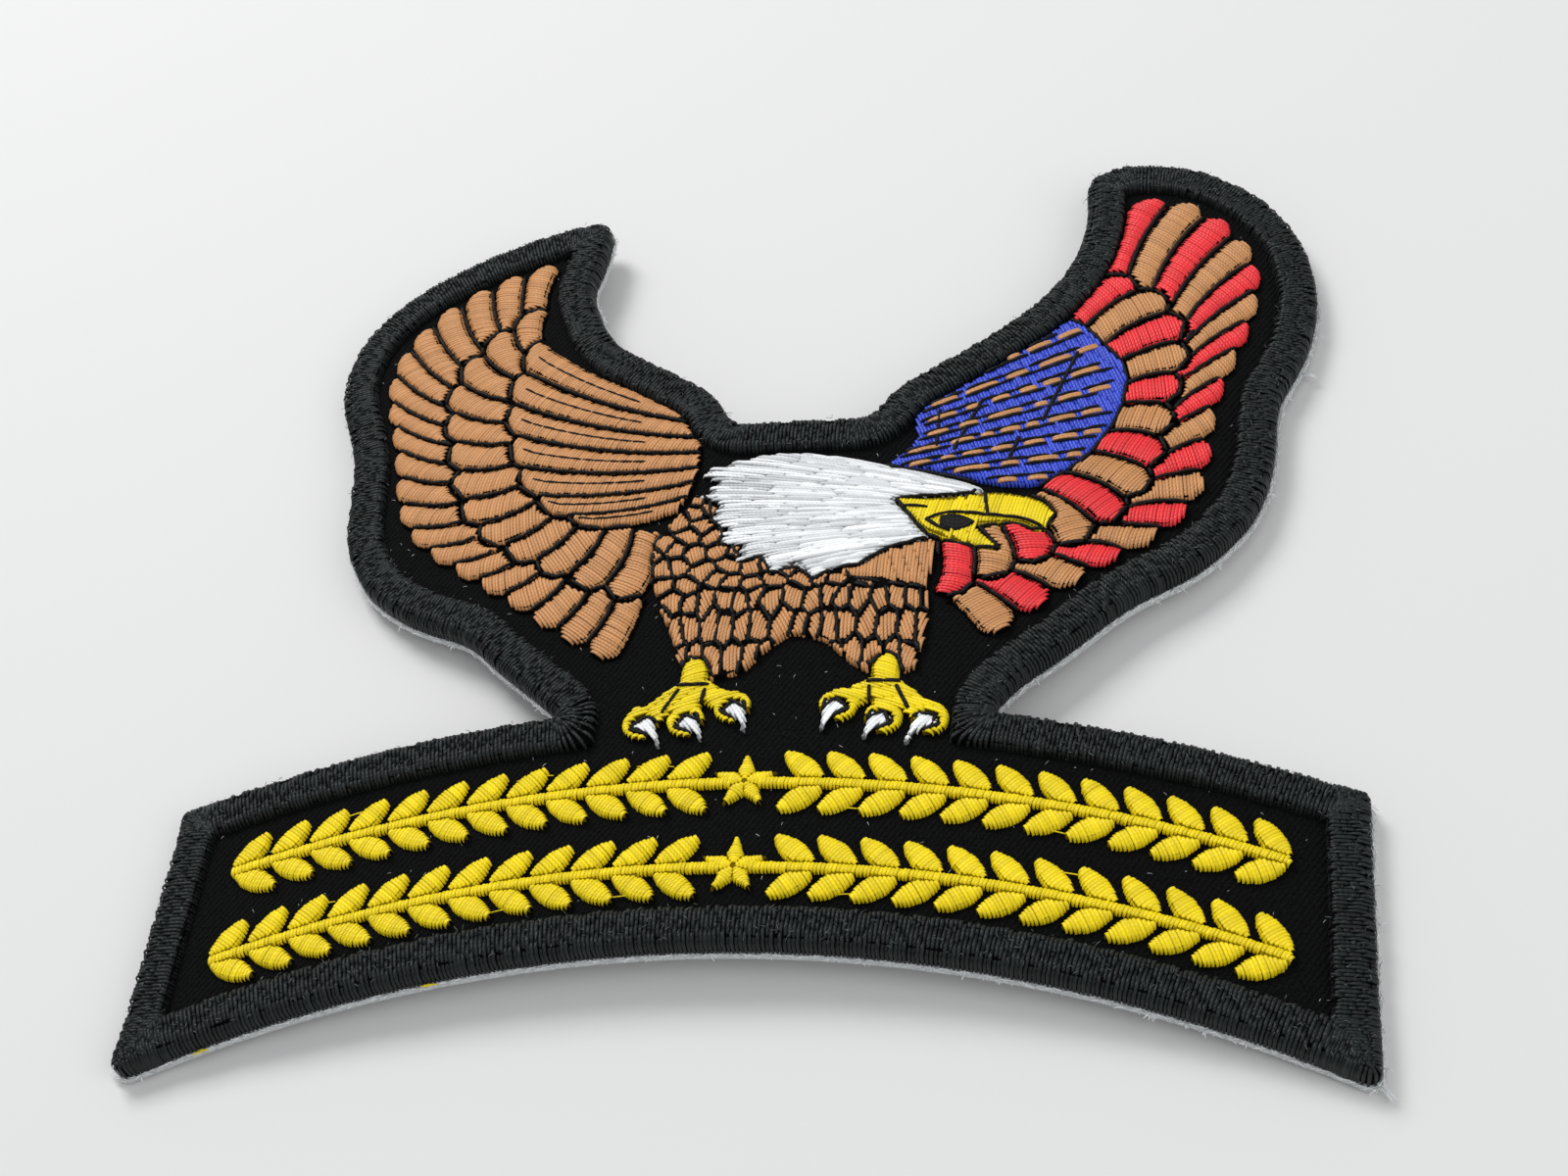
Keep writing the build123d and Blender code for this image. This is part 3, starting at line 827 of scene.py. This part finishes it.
def across(elbow):
    """Function that gives the rows across a feather of one wing."""
    def rows(loops):
        out = loops[0].mean(axis=0) - elbow
        line, shape = long_line(loops[0])
        if shape < telling_shape:
            line = out
        elif line @ out < 0:
            line = -line
        return straight(atan2(line[1], line[0]) + radians(90) + slant)
    return rows


feather_stitch = 6.8 * mm
feather_ends = 0.17 * mm, 0.17 * mm
for node in sorted(nodes):
    side = "left" if node.startswith("left") else "right"
    colour = "red" if node.startswith("red") else "brown"
    if "scapular" in node or "covert" in node or "flight" in node:
        outlines[node] = work_field(
            node, across(elbows[side]), feather_stitch, colour, feather_ends)

# %% [markdown]
# The long scapular feathers of the left wing are each split by a thin black line, so that they read
# as twice as many narrow ones. The middles of the rows across a feather, one after another, are its
# middle line, however it curves.

# %% Thin lines along the scapulars
near_tip, near_root = 0.07, 0.75


def middle_line(loops, elbow):
    """Points along the middle of a feather of the left wing, from its tip."""
    to_rows, to_plan = across(elbow)(loops)
    rows = rows_of(loops, to_rows, thread_pitch)
    line = to_plan(np.array([((start + end) / 2, level) for _, level, start, end in rows]))
    return line if line[0][0] < line[-1][0] else line[::-1]


thin_lines = []
for loops in outlines["left_scapulars"]:
    line = middle_line(loops, elbows["left"])
    thin_lines.append(line[round(len(line) * near_tip):round(len(line) * near_root)])
print("thin lines", len(thin_lines))

# %% [markdown]
# Feet and talons are small satin shapes: yellow toes, whose rows cross them, and white claws, whose
# rows run from root to tip. A black line parts one toe from the next and the toes from the shin.

# %% Feet and talons
foot_places = {"left": (-0.112, 1), "right": (0.214, -1)}
toe_stitch, talon_stitch = 3.2 * mm, 7.0 * mm
toe_turn = radians(70)
talon_ends = 0.05 * mm, 0.15 * mm
toe_lines = [((-2.6, -1.45), (-1.3, 1.2)), ((1.15, -0.35), (1.3, 1.2)), ((-1.5, 1.75), (1.5, 1.75))]


def lengthwise(loops):
    """Rows along a small shape."""
    x, y = long_line(loops[0])[0]
    return straight(atan2(y, x))


for side, (place, hand) in foot_places.items():
    node = f"{side}_foot"
    toe_rows = straight(radians(90) - toe_turn * hand)
    outlines[node] = work_field(node, lambda loops: toe_rows, toe_stitch, "yellow")
    for ends in toe_lines:
        drawn_lines.append(spot(place, 0) + np.array(ends) * (hand, 1) * mm)
    for i in (1, 2, 3):
        node = f"{side}_talon_{i}"
        outlines[node] = work_field(node, lengthwise, talon_stitch, "white", talon_ends)

# %% [markdown]
# The banner holds two garlands along arcs with one centre. In a frame whose X runs along the arc of
# a garland, and whose Y is the way out from it, a stem is a level strip, which is easy to take
# apart. The radii follow from how far the banner's lower edge rises over its width.

# %% The arcs of the banner
arch_rise = 12.0 * mm
lower_radius = (half_width**2 + arch_rise**2) / (2 * arch_rise)
middle_strip = 3 * mm
film_points = [v.co for v in nodes["backing_film"].data.vertices]
arch_bottom = min(point.y for point in film_points if abs(point.x) < middle_strip)
arc_centre = arch_bottom - lower_radius
rim_depth = 4.1 * mm
bare_depth = 19.0 * mm
row_places = {"lower": 0.225, "upper": 0.715}
garland_radii = {place: lower_radius + rim_depth + share * bare_depth
                 for place, share in row_places.items()}
print("radii in mm", {place: round(radius / mm, 1) for place, radius in garland_radii.items()})


def unrolled(bm, radius):
    """Take a face copy to the frame of a garland: X along its arc, Y out from it."""
    for vert in bm.verts:
        out = hypot(vert.co.x, vert.co.y - arc_centre)
        vert.co = (atan2(vert.co.x, vert.co.y - arc_centre) * radius, out - radius, vert.co.z)


def rolled(radius):
    """Function that takes flat points of a garland's frame back to the patch."""
    def back(points):
        angle, out = points[:, 0] / radius, points[:, 1] + radius
        return np.column_stack([out * np.sin(angle), arc_centre + out * np.cos(angle)])
    return back


# %% [markdown]
# A garland is two leafy branches that meet at a star. Real satin leaves have rows across each leaf,
# so the branch has to be taken apart. Everything above its stem is leaves that lean one way, and
# everything below leans the other way. Bisecting copies of the face along those lines leaves each
# leaf an island of its own. The star is five kites, each with rows across its point.

# %% The two garlands
stem_width = 1.0 * mm
star_reach = 3.15 * mm
star_tip, star_notch = 3.3 * mm, 1.4 * mm
star_pitch = 0.3 * mm
leaf_angle, stem_angle = radians(38), radians(75)
leaf_stitch = 4 * mm


def star_stitches():
    """A star of five kites, each worked across its point."""
    made = []
    for turn in range(5):
        angle = radians(90 + 72 * turn)
        half = radians(36)
        sides = [(angle - half, star_notch), (angle, star_tip), (angle + half, star_notch)]
        kite = np.array([(0, 0)] + [(far * cos(way), far * sin(way)) for way, far in sides])
        made.append(fill([kite], straight(angle + radians(90)), leaf_stitch, pitch=star_pitch))
    return made


def garland(name, radius):
    """Stitches of one garland: leaves, stem and star."""
    bm = face_copy(name)
    unrolled(bm, radius)
    back = rolled(radius)
    half_stem = stem_width / 2
    above = ((0, half_stem, 0), (0, -1, 0))
    below = ((0, -half_stem, 0), (0, 1, 0))
    made = []
    for hand in (-1, 1):
        branch = ((hand * star_reach, 0, 0), (-hand, 0, 0))
        growth = 0 if hand < 0 else pi
        for cut, lean in ((above, -hand), (below, hand)):
            across_leaf = growth + lean * leaf_angle + radians(90)
            for loops in kept(bm, [branch, cut]):
                made.append(fill(loops, straight(across_leaf), leaf_stitch))
        stem_end = ((hand * star_notch, 0, 0), (-hand, 0, 0))
        strip = [stem_end, ((0, half_stem, 0), (0, 1, 0)), ((0, -half_stem, 0), (0, -1, 0))]
        for loops in kept(bm, strip):
            made.append(fill(loops, straight(stem_angle), leaf_stitch))
    bm.free()
    flat = together(made + star_stitches())
    return {kind: [back(np.reshape(stitch, (2, 2))).ravel() for stitch in stitches]
            for kind, stitches in flat.items()}


for place, radius in garland_radii.items():
    node = f"{place}_garland"
    made = garland(node, radius)
    work(node + "_stitches", made, "yellow", [node], padding(node))

# %% [markdown]
# The rim is one long satin seam. Its stitches can't be rows of a field, because they turn with the
# edge. So the outer edge is walked in tiny steps, and at each step the way inwards is the edge's
# normal, averaged over a millimetre so that it turns smoothly.

# %% A walk round an edge
walk_step = 0.1 * mm


def distances(line):
    """How far each point of a line is from its start, along it."""
    return np.concatenate([[0], np.cumsum(np.hypot(*np.diff(line, axis=0).T))])


def points_at(line, along, places):
    """Points of a line at some distances along it."""
    return np.column_stack([np.interp(places, along, line[:, i]) for i in (0, 1)])


def evenly(loop, step):
    """Points along a closed loop, one each step."""
    closed = np.vstack([loop, loop[:1]])
    along = distances(closed)
    return points_at(closed, along, np.arange(0, along[-1], step))


def is_anticlockwise(loop):
    """True if a loop has its inside on the left."""
    after = np.roll(loop, -1, axis=0)
    return (loop[:, 0] * after[:, 1] - after[:, 0] * loop[:, 1]).sum() > 0


def inward_normals(path, window):
    """Unit normals of an anticlockwise path, averaged over a window."""
    ahead = np.roll(path, -1, axis=0) - np.roll(path, 1, axis=0)
    normals = np.column_stack([-ahead[:, 1], ahead[:, 0]])
    normals /= np.hypot(*normals.T)[:, None]
    half = round(window / walk_step)
    mean = sum(np.roll(normals, shift, axis=0) for shift in range(-half, half + 1))
    return mean / np.hypot(*mean.T)[:, None]


rim_loops = islands("satin_rim")[0]
print("edges of the rim in mm", [round(distances(loop)[-1] / mm) for loop in rim_loops[:2]])

# %% [markdown]
# A stitch of the rim ends where its way meets the inner edge, or where it comes nearer to another
# side of the outer edge than to its own, which is the mitre of a corner. A search tree over the
# outer edge gives that distance.

# %% How far a stitch of the rim reaches
mitre_start, mitre_share, mitre_slack = 0.6 * mm, 0.88, 0.12 * mm
no_edge = 9 * mm


def search_tree(points):
    """Tree that finds the nearest of some flat points."""
    tree = KDTree(len(points))
    for i, (x, y) in enumerate(points):
        tree.insert((x, y, 0), i)
    tree.balance()
    return tree


def inner_reach(point, way, inner):
    """How far a way goes from a point to the inner edge."""
    side = np.roll(inner, -1, axis=0) - inner
    offset = inner - point
    cross = way[0] * side[:, 1] - way[1] * side[:, 0]
    with np.errstate(divide="ignore", invalid="ignore"):
        far = (offset[:, 0] * side[:, 1] - offset[:, 1] * side[:, 0]) / cross
        share = (offset[:, 0] * way[1] - offset[:, 1] * way[0]) / cross
    hits = far[(share >= 0) & (share <= 1) & (far > 0)]
    return hits.min() if len(hits) else no_edge


def mitre_reach(point, way, tree, longest):
    """How far a way goes before another side of the outer edge is nearer."""
    for far in np.arange(mitre_start, longest, walk_step):
        x, y = point + way * far
        if tree.find((x, y, 0))[2] < mitre_share * far - mitre_slack:
            return far
    return longest


# %% [markdown]
# A stitch is laid when either end has moved on by a thread, and it is split by chance into two or
# three, which gives the rim its dense grain. It starts outside the walked edge, so that it wraps
# the twill. Where full stitches would crowd at their inner ends, round a tight bend, the ones
# between stop short, as a machine's do.

# %% The satin rim
turn_window = 0.5 * mm
rim_pitch = 0.33 * mm
crowded, short_shares = 0.14 * mm, (0.55, 0.8)
wrap_starts, inner_ends = (-0.46 * mm, -0.38 * mm), (-0.05 * mm, 0.12 * mm)
split_shares = 0.2, 0.8
rim_shades = 0.15, 1.0


def rim_stitches(outer, inner):
    """Split satin stitches from an outer edge to an inner one."""
    path = evenly(outer if is_anticlockwise(outer) else outer[::-1], walk_step)
    tree = search_tree(path)
    made = {"rim_wrap": [], "rim_edge": [], "rim_fill": []}
    last = full_end = None
    for point, way in zip(path, inward_normals(path, turn_window)):
        whole = inner_reach(point, way, inner)
        reach = mitre_reach(point, way, tree, whole)
        end = point + way * reach
        here = np.array((point, end))
        if last is not None and np.hypot(*(here - last).T).max() < rim_pitch:
            continue
        last = here
        if full_end is not None and np.hypot(*(end - full_end)) < crowded:
            reach *= rng.uniform(*short_shares)
        else:
            full_end = end
        start, stop = rng.uniform(*wrap_starts), reach + rng.uniform(*inner_ends)
        cuts = np.sort(rng.uniform(*split_shares, rng.integers(1, 3))) * reach
        stops = [point + way * far for far in (start, *cuts, stop)]
        made["rim_wrap"].append((*stops[0], *stops[1]))
        made["rim_edge"].append((*stops[-1], *stops[-2]))
        if len(stops) == 4:
            made["rim_fill"].append((*stops[1], *stops[2]))
    return made


made = rim_stitches(*rim_loops[:2])
work("satin_rim_stitches", made, "charcoal", ["satin_rim"], padding("satin_rim"), shades=rim_shades)

# %% [markdown]
# Black thread draws the feathers: small running stitches in the groove between two fields. The
# middle of a groove is halfway between a point on one outline and the nearest point on another. So
# all outlines are sampled into one search tree, each sample looks for its nearest neighbour of
# another field, and neighbours close enough give a point of the line. Each pair of fields is
# followed once, from the one with the lower number.

# %% Black lines between the fields
sample_step = 0.2 * mm
widest_groove = 1.0 * mm
running_length, running_lap = 1.9 * mm, 0.15 * mm
groove_top = 0.62 * mm

samples = [evenly(loops[0], sample_step) for found in outlines.values() for loops in found]
owners = np.concatenate([[i] * len(points) for i, points in enumerate(samples)])
every = np.vstack(samples)
tree = search_tree(every)


def across_groove(x, y, owner):
    """Number of the nearest field past a point's own, and the middle between the two."""
    near = [(distance, index) for _, index, distance in tree.find_range((x, y, 0), widest_groove)
            if owners[index] > owner]
    if not near:
        return None, None
    index = min(near)[1]
    return owners[index], (np.array((x, y)) + every[index]) / 2


def groove_lines():
    """Polylines along the middles of the grooves."""
    for owner, points in enumerate(samples):
        met = [across_groove(x, y, owner) for x, y in np.vstack([points, points[:1]])]
        for other, stretch in groupby(met, key=lambda pair: pair[0]):
            line = [middle for _, middle in stretch]
            if other is not None and len(line) > 3:
                yield np.array(line)


def run_along(line, length=running_length):
    """Running stitches end to end along a line."""
    along = distances(line)
    if along[-1] < shortest:
        return []
    count = max(1, round(along[-1] / length))
    points = points_at(line, along, np.linspace(0, along[-1], count + 1))
    stitches = []
    for a, b in zip(points[:-1], points[1:]):
        lap = (b - a) / max(np.hypot(*(b - a)), 1e-9) * running_lap
        stitches.append((*(a - lap), *(b + lap)))
    return stitches


outline_stitches = [s for line in groove_lines() for s in run_along(line)]
work("black_outline_stitches", {"running": outline_stitches}, "black", height=groove_top)

# %% [markdown]
# The bird's features are drawn over its fields in the same black thread: the brow's edge, which
# runs on into the mouth, the lower lid, the folds of the beak, and the dark, almond-shaped eye with
# its corner at the mouth. The lines noted before, on shoulder, feathers and toes, are laid with
# them.

# %% Eye, beak lines and other drawn lines
eye_corners = spot(0.276, 0.299), spot(0.347, 0.292)
eye_rise, eye_sag = 0.85 * mm, 1.25 * mm
eye_pitch = 0.24 * mm
eye_from, eye_to, eye_fullness = 0.2, 0.96, 0.8
thin_length = 1.5 * mm
drawn_top = 0.76 * mm
beak_lines = [
    [(0.222, 0.325), (0.262, 0.321)],
    [(0.361, 0.345), (0.369, 0.306)],
    [(0.262, 0.299), (0.285, 0.309), (0.318, 0.311),
     (0.374, 0.304), (0.426, 0.300), (0.462, 0.285)],
    [(0.262, 0.299), (0.283, 0.286), (0.304, 0.278)],
]


def almond(left, right, rise, sag):
    """Upright stitches that fill an almond, except for a light spot at its left corner."""
    run = right - left
    stitches = []
    for share in np.linspace(eye_from, eye_to, round(np.hypot(*run) / eye_pitch)):
        middle, swell = left + run * share, sin(share * pi) ** eye_fullness
        stitches.append((*(middle - (0, sag * swell)), *(middle + (0, rise * swell))))
    return stitches


for line in beak_lines:
    drawn_lines.append(np.array([spot(*point) for point in line]))
drawn = [s for line in drawn_lines for s in run_along(line)]
drawn += almond(*eye_corners, eye_rise, eye_sag)
thin = [s for line in thin_lines for s in run_along(line, thin_length)]
work("black_drawn_stitches", {"running": drawn, "thin": thin}, "black", height=drawn_top)

# %% [markdown]
# Worn embroidery is never clean. The cut edge of the film frays into a line of pale fibres, thicker
# along the lower and right sides and gathered into small lumps. Short stubs of it stick out at two
# corners and halfway up the right wing. The line has a coarse fibre that lies along the edge and a
# fine one that stands out from it.

# %% The frayed edge
edge_step = 0.3 * mm
worn_share, other_share = 1.0, 0.45
most_south, least_east = -0.2, 0.6
fibre_lengths, fibre_turns = (0.5 * mm, 1.2 * mm), (1.2, 1.8)
hair_lengths, hair_turn = (0.25 * mm, 0.6 * mm), 1.3
fray_starts, fray_sink = (-0.25 * mm, 0.05 * mm), 0.12 * mm
lump_share, lump_fibres = 0.05, 7
lump_lengths, lump_starts = (0.4 * mm, 0.8 * mm), (-0.2 * mm, 0.15 * mm)
stub_length, stub_spread, stub_turn, stub_least = 1.7 * mm, 0.14 * mm, 0.2, 0.7


def hair(place, heading, length):
    """One fibre from a place, in a direction."""
    x, y = place
    return x, y, x + cos(heading) * length, y + sin(heading) * length


def stub(place, heading, count, length):
    """A short bundle of fibres that leave a place together."""
    return [hair(place + rng.normal(0, stub_spread, 2),
                 heading + rng.uniform(-stub_turn, stub_turn),
                 rng.uniform(stub_least, 1) * length) for _ in range(count)]


def nearest(points, x, y):
    """The nearest of some points to a place."""
    return points[np.hypot(*(points - (x, y)).T).argmin()]


film_edge = evenly(islands("backing_film", film_thickness / 2)[0][0], edge_step)
outward = np.roll(film_edge, 1, axis=0) - np.roll(film_edge, -1, axis=0)
outward = np.arctan2(outward[:, 0], -outward[:, 1]) + (0 if is_anticlockwise(film_edge) else pi)
fine, coarse = [], []
for place, heading in zip(film_edge, outward):
    worn = sin(heading) < most_south or cos(heading) > least_east
    out = np.array((cos(heading), sin(heading)))
    if rng.random() < (worn_share if worn else other_share):
        start = place + out * rng.uniform(*fray_starts)
        along_edge = heading + rng.choice((-1, 1)) * rng.uniform(*fibre_turns)
        coarse.append(hair(start, along_edge, rng.uniform(*fibre_lengths)))
        from_edge = heading + rng.uniform(-hair_turn, hair_turn)
        fine.append(hair(start, from_edge, rng.uniform(*hair_lengths)))
    if worn and rng.random() < lump_share:
        coarse += [hair(place + out * rng.uniform(*lump_starts), rng.uniform(0, 2 * pi),
                        rng.uniform(*lump_lengths)) for _ in range(lump_fibres)]
low_left, low_right = (cad_box[0].x, cad_box[0].y), (cad_box[1].x, cad_box[0].y)
nubs = ((*low_left, 125, 16), (*low_right, -50, 9), (49 * mm, 27 * mm, -15, 9))
for x, y, heading, count in nubs:
    coarse += stub(nearest(film_edge, x, y), radians(heading), count, stub_length)
film_top = film_thickness - twill_top
work("film_fray", {"fibre": coarse, "hair": fine}, "fray", height=film_top - fray_sink)

# %% [markdown]
# Lint clings to the twill, and twill and rim are a little fuzzy. All of it is the fine fibre again,
# laid in other numbers, lengths and colours. To find bare twill, a point counts how many outlines
# lie to its right: an odd number puts it inside the rim and outside every field.

# %% Lint and fuzz
shortest_hair, tries_each = 0.25, 8
ground_loops = [rim_loops[1]]
for node in nodes:
    if node not in ("satin_rim", "backing_film", "twill_ground"):
        ground_loops += [loop for loops in islands(node) for loop in loops]


def scattered(count, loops, longest):
    """Fibres at chance places inside some loops, by the odd number of crossings."""
    tries = rng.uniform(cad_box[0].xy, cad_box[1].xy, (tries_each * count, 2))
    crossed = np.zeros(len(tries), int)
    for loop in loops:
        for a, b in zip(loop, np.roll(loop, -1, axis=0)):
            if a[1] != b[1]:
                level = (a[1] <= tries[:, 1]) != (b[1] <= tries[:, 1])
                meeting = a[0] + (tries[:, 1] - a[1]) / (b[1] - a[1]) * (b[0] - a[0])
                crossed += level & (meeting > tries[:, 0])
    return [hair(place, rng.uniform(0, 2 * pi), rng.uniform(shortest_hair, 1.0) * longest)
            for place in tries[crossed % 2 == 1][:count]]


# Name, number, place, greatest length, thread, height and shades of what lies about
scatterings = [
    ("twill_lint", 130, ground_loops, 0.5 * mm, "lint", 0.0, (0.3, 1.0)),
    ("twill_fuzz", 1300, ground_loops, 0.8 * mm, "black", 0.0, (0.6, 1.0)),
    ("rim_fuzz", 1700, rim_loops, 0.6 * mm, "fuzz", 1.05 * mm, (0.0, 1.0)),
]
for name, count, loops, longest, colour, height, shades in scatterings:
    work(name, {"hair": scattered(count, loops, longest)}, colour, height=height, shades=shades)

# %% [markdown]
# Two more signs of the machine: thin threads jump from leaf to leaf of the garlands where it didn't
# trim them, and two short yellow ends lie along the film's edge at the lower left.

# %% Jump threads and loose ends
jump_places = np.array((-41, -23, -12, 10, 29)) * mm
jump_length, jump_side, jump_sides = 3.6 * mm, 2.6 * mm, (2.2 * mm, 3.0 * mm)
jump_wander, jump_height = 1.5 * mm, 0.05 * mm
end_places, end_rise = (-50 * mm, -27 * mm), 4 * mm
end_threads, end_length = 4, 1.3 * mm
jumps = []
for radius in garland_radii.values():
    for x in jump_places:
        start, side = x + rng.uniform(-jump_wander, jump_wander), rng.choice((-1, 1))
        ends = (start, side * jump_side), (start + jump_length, side * rng.uniform(*jump_sides))
        jumps.append(rolled(radius)(np.array(ends)).ravel())
work("jump_threads", {"jump": jumps}, "yellow", height=jump_height)
loose = []
for x in end_places:
    place = nearest(film_edge, x, cad_box[0].y + end_rise)
    along_edge = atan2(-place[0], place[1] - arc_centre)
    loose += stub(place, along_edge, end_threads, end_length)
work("yellow_ends", {"jump": loose}, "yellow", height=film_top)

# %% [markdown]
# The twill is a black polyester weave. Its diagonal wales are half a millimetre apart, and a fine
# fuzz of loose fibre lies over them, five tufts to a millimetre. Both are bump, and the fuzz is a
# touch lighter. The film is extruded, pale and dull, with a faint mottle, and its cut edge shows as
# a light line outside the rim.

# %% Twill and film
wale_pitch, wale_slope, weave_depth = 0.5 * mm, radians(32), 0.12 * mm
fuzz_tufts = 5.2 / mm
film_mottles, mottle_depth = 1.8 / mm, 0.1 * mm


def twill():
    """Black polyester twill, woven in diagonal wales and a little fuzzy."""
    material, tree, shader = new_material(
        "woven_polyester_twill_black", Roughness=0.9, IOR=1.5,
        Specular_IOR_Level=0.06, Sheen_Weight=0.012, Sheen_Roughness=0.6)
    place = add(tree, "ShaderNodeTexCoord").outputs["Object"]
    turned = add(tree, "ShaderNodeMapping", {"Vector": place, "Rotation": (0, 0, wale_slope)})
    # A wave texture of scale 1 has a wave every 2 pi / 20 of its coordinates
    wales = add(tree, "ShaderNodeTexWave", {
        "Vector": turned.outputs["Vector"], "Scale": 2 * pi / 20 / wale_pitch,
        "Distortion": 2.5, "Detail": 3.0, "Detail Scale": 3.0})
    fuzz = add(tree, "ShaderNodeTexNoise",
               {"Vector": place, "Scale": fuzz_tufts, "Detail": 4.0}).outputs["Fac"]
    both = add(tree, "ShaderNodeMath", {0: wales.outputs["Fac"], 1: fuzz}, operation="ADD")
    bump = add(tree, "ShaderNodeBump", {"Height": both.outputs["Value"], "Strength": 0.7,
                                        "Distance": weave_depth})
    tree.links.new(bump.outputs["Normal"], shader.inputs["Normal"])
    share = add(tree, "ShaderNodeMapRange", {"Value": fuzz, "From Min": 0.35, "From Max": 0.7})
    blacks = add(tree, "ShaderNodeMix", {"Factor": share.outputs["Result"], "A": linear("#010101"),
                                         "B": linear("#0E0F10")}, data_type="RGBA")
    tree.links.new(blacks.outputs["Result"], shader.inputs["Base Color"])
    return material


def film():
    """Heat-seal film, pale and dull, with a faint mottle."""
    material, tree, shader = new_material("extruded_heat_seal_film", Roughness=0.55, IOR=1.5)
    place = add(tree, "ShaderNodeTexCoord").outputs["Object"]
    mottle = add(tree, "ShaderNodeTexNoise",
                 {"Vector": place, "Scale": film_mottles, "Detail": 5.0}).outputs["Fac"]
    pales = add(tree, "ShaderNodeMix", {"Factor": mottle, "A": linear("#858A8A"),
                                        "B": linear("#DCDFDE")}, data_type="RGBA")
    tree.links.new(pales.outputs["Result"], shader.inputs["Base Color"])
    bump = add(tree, "ShaderNodeBump", {"Height": mottle, "Strength": 0.5,
                                        "Distance": mottle_depth})
    tree.links.new(bump.outputs["Normal"], shader.inputs["Normal"])
    return material


for node, finish in (("twill_ground", twill()), ("backing_film", film())):
    nodes[node].data.materials.clear()
    nodes[node].data.materials.append(finish)

twill_faces = face_copy("twill_ground", twill_top - 0.3 * mm)
twill_area = sum(face.calc_area() for face in twill_faces.faces)
twill_faces.free()

# %% [markdown]
# The camera stands where the photographer's did: 49 degrees above the table and a little to the
# right, turned to the middle of the patch with the same slight roll, and with a lens long enough to
# fill the frame. The light is plain and soft.

# %% Camera, floor and light
eye = Vector((52.96, -162.75, 200.79)) * mm
photo_right = Vector((0.99600, 0.02764, -0.08503))
aim = Vector((0.5, -1.0, 2.0)) * mm
lens = 60.0

camera_data = bpy.data.cameras.new("camera")
camera_data.lens = lens
camera_data.sensor_width = 36.0
camera_data.clip_start = 10 * mm
camera = in_scene("camera", camera_data)
back = (eye - aim).normalized()
right = (photo_right - back * photo_right.dot(back)).normalized()
up = back.cross(right)
camera.matrix_world = Matrix.Translation(eye) @ Matrix((right, up, back)).transposed().to_4x4()
bpy.context.scene.camera = camera
bpy.context.scene.view_settings.view_transform = "Standard"

bm = bmesh.new()
bmesh.ops.create_grid(bm, x_segments=1, y_segments=1, size=4.0)
floor = in_scene("floor", mesh_of(bm, "floor"))
floor_finish, _, floor_shader = new_material("matt_paper_floor", Roughness=0.8)
floor_shader.inputs["Base Color"].default_value = linear("#D9D9D7")
floor.data.materials.append(floor_finish)
floor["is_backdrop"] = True

world = bpy.data.worlds.new("studio")
world.use_nodes = True
world.node_tree.nodes["Background"].inputs["Color"].default_value = linear("#F4F6FA")
world.node_tree.nodes["Background"].inputs["Strength"].default_value = 0.58
bpy.context.scene.world = world


def soft_light(name, place, size, power):
    """A square studio light that looks at the patch."""
    data = bpy.data.lights.new(name, "AREA")
    data.shape = "SQUARE"
    data.size = size
    data.energy = power
    lamp = in_scene(name, data)
    lamp.location = place
    lamp.rotation_mode = "QUATERNION"
    lamp.rotation_quaternion = Vector(place).to_track_quat("Z", "Y")


soft_light("key_light", (-0.35, 0.45, 0.6), 0.35, 4.5)
soft_light("fill_light", (0.5, -0.3, 0.5), 0.6, 1.7)

# %% Check the size and finish
visual_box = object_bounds()
grown = *(cad_box[0] - visual_box[0]), *(visual_box[1] - cad_box[1])
print("grown by mm", [round(v / mm, 2) for v in grown])
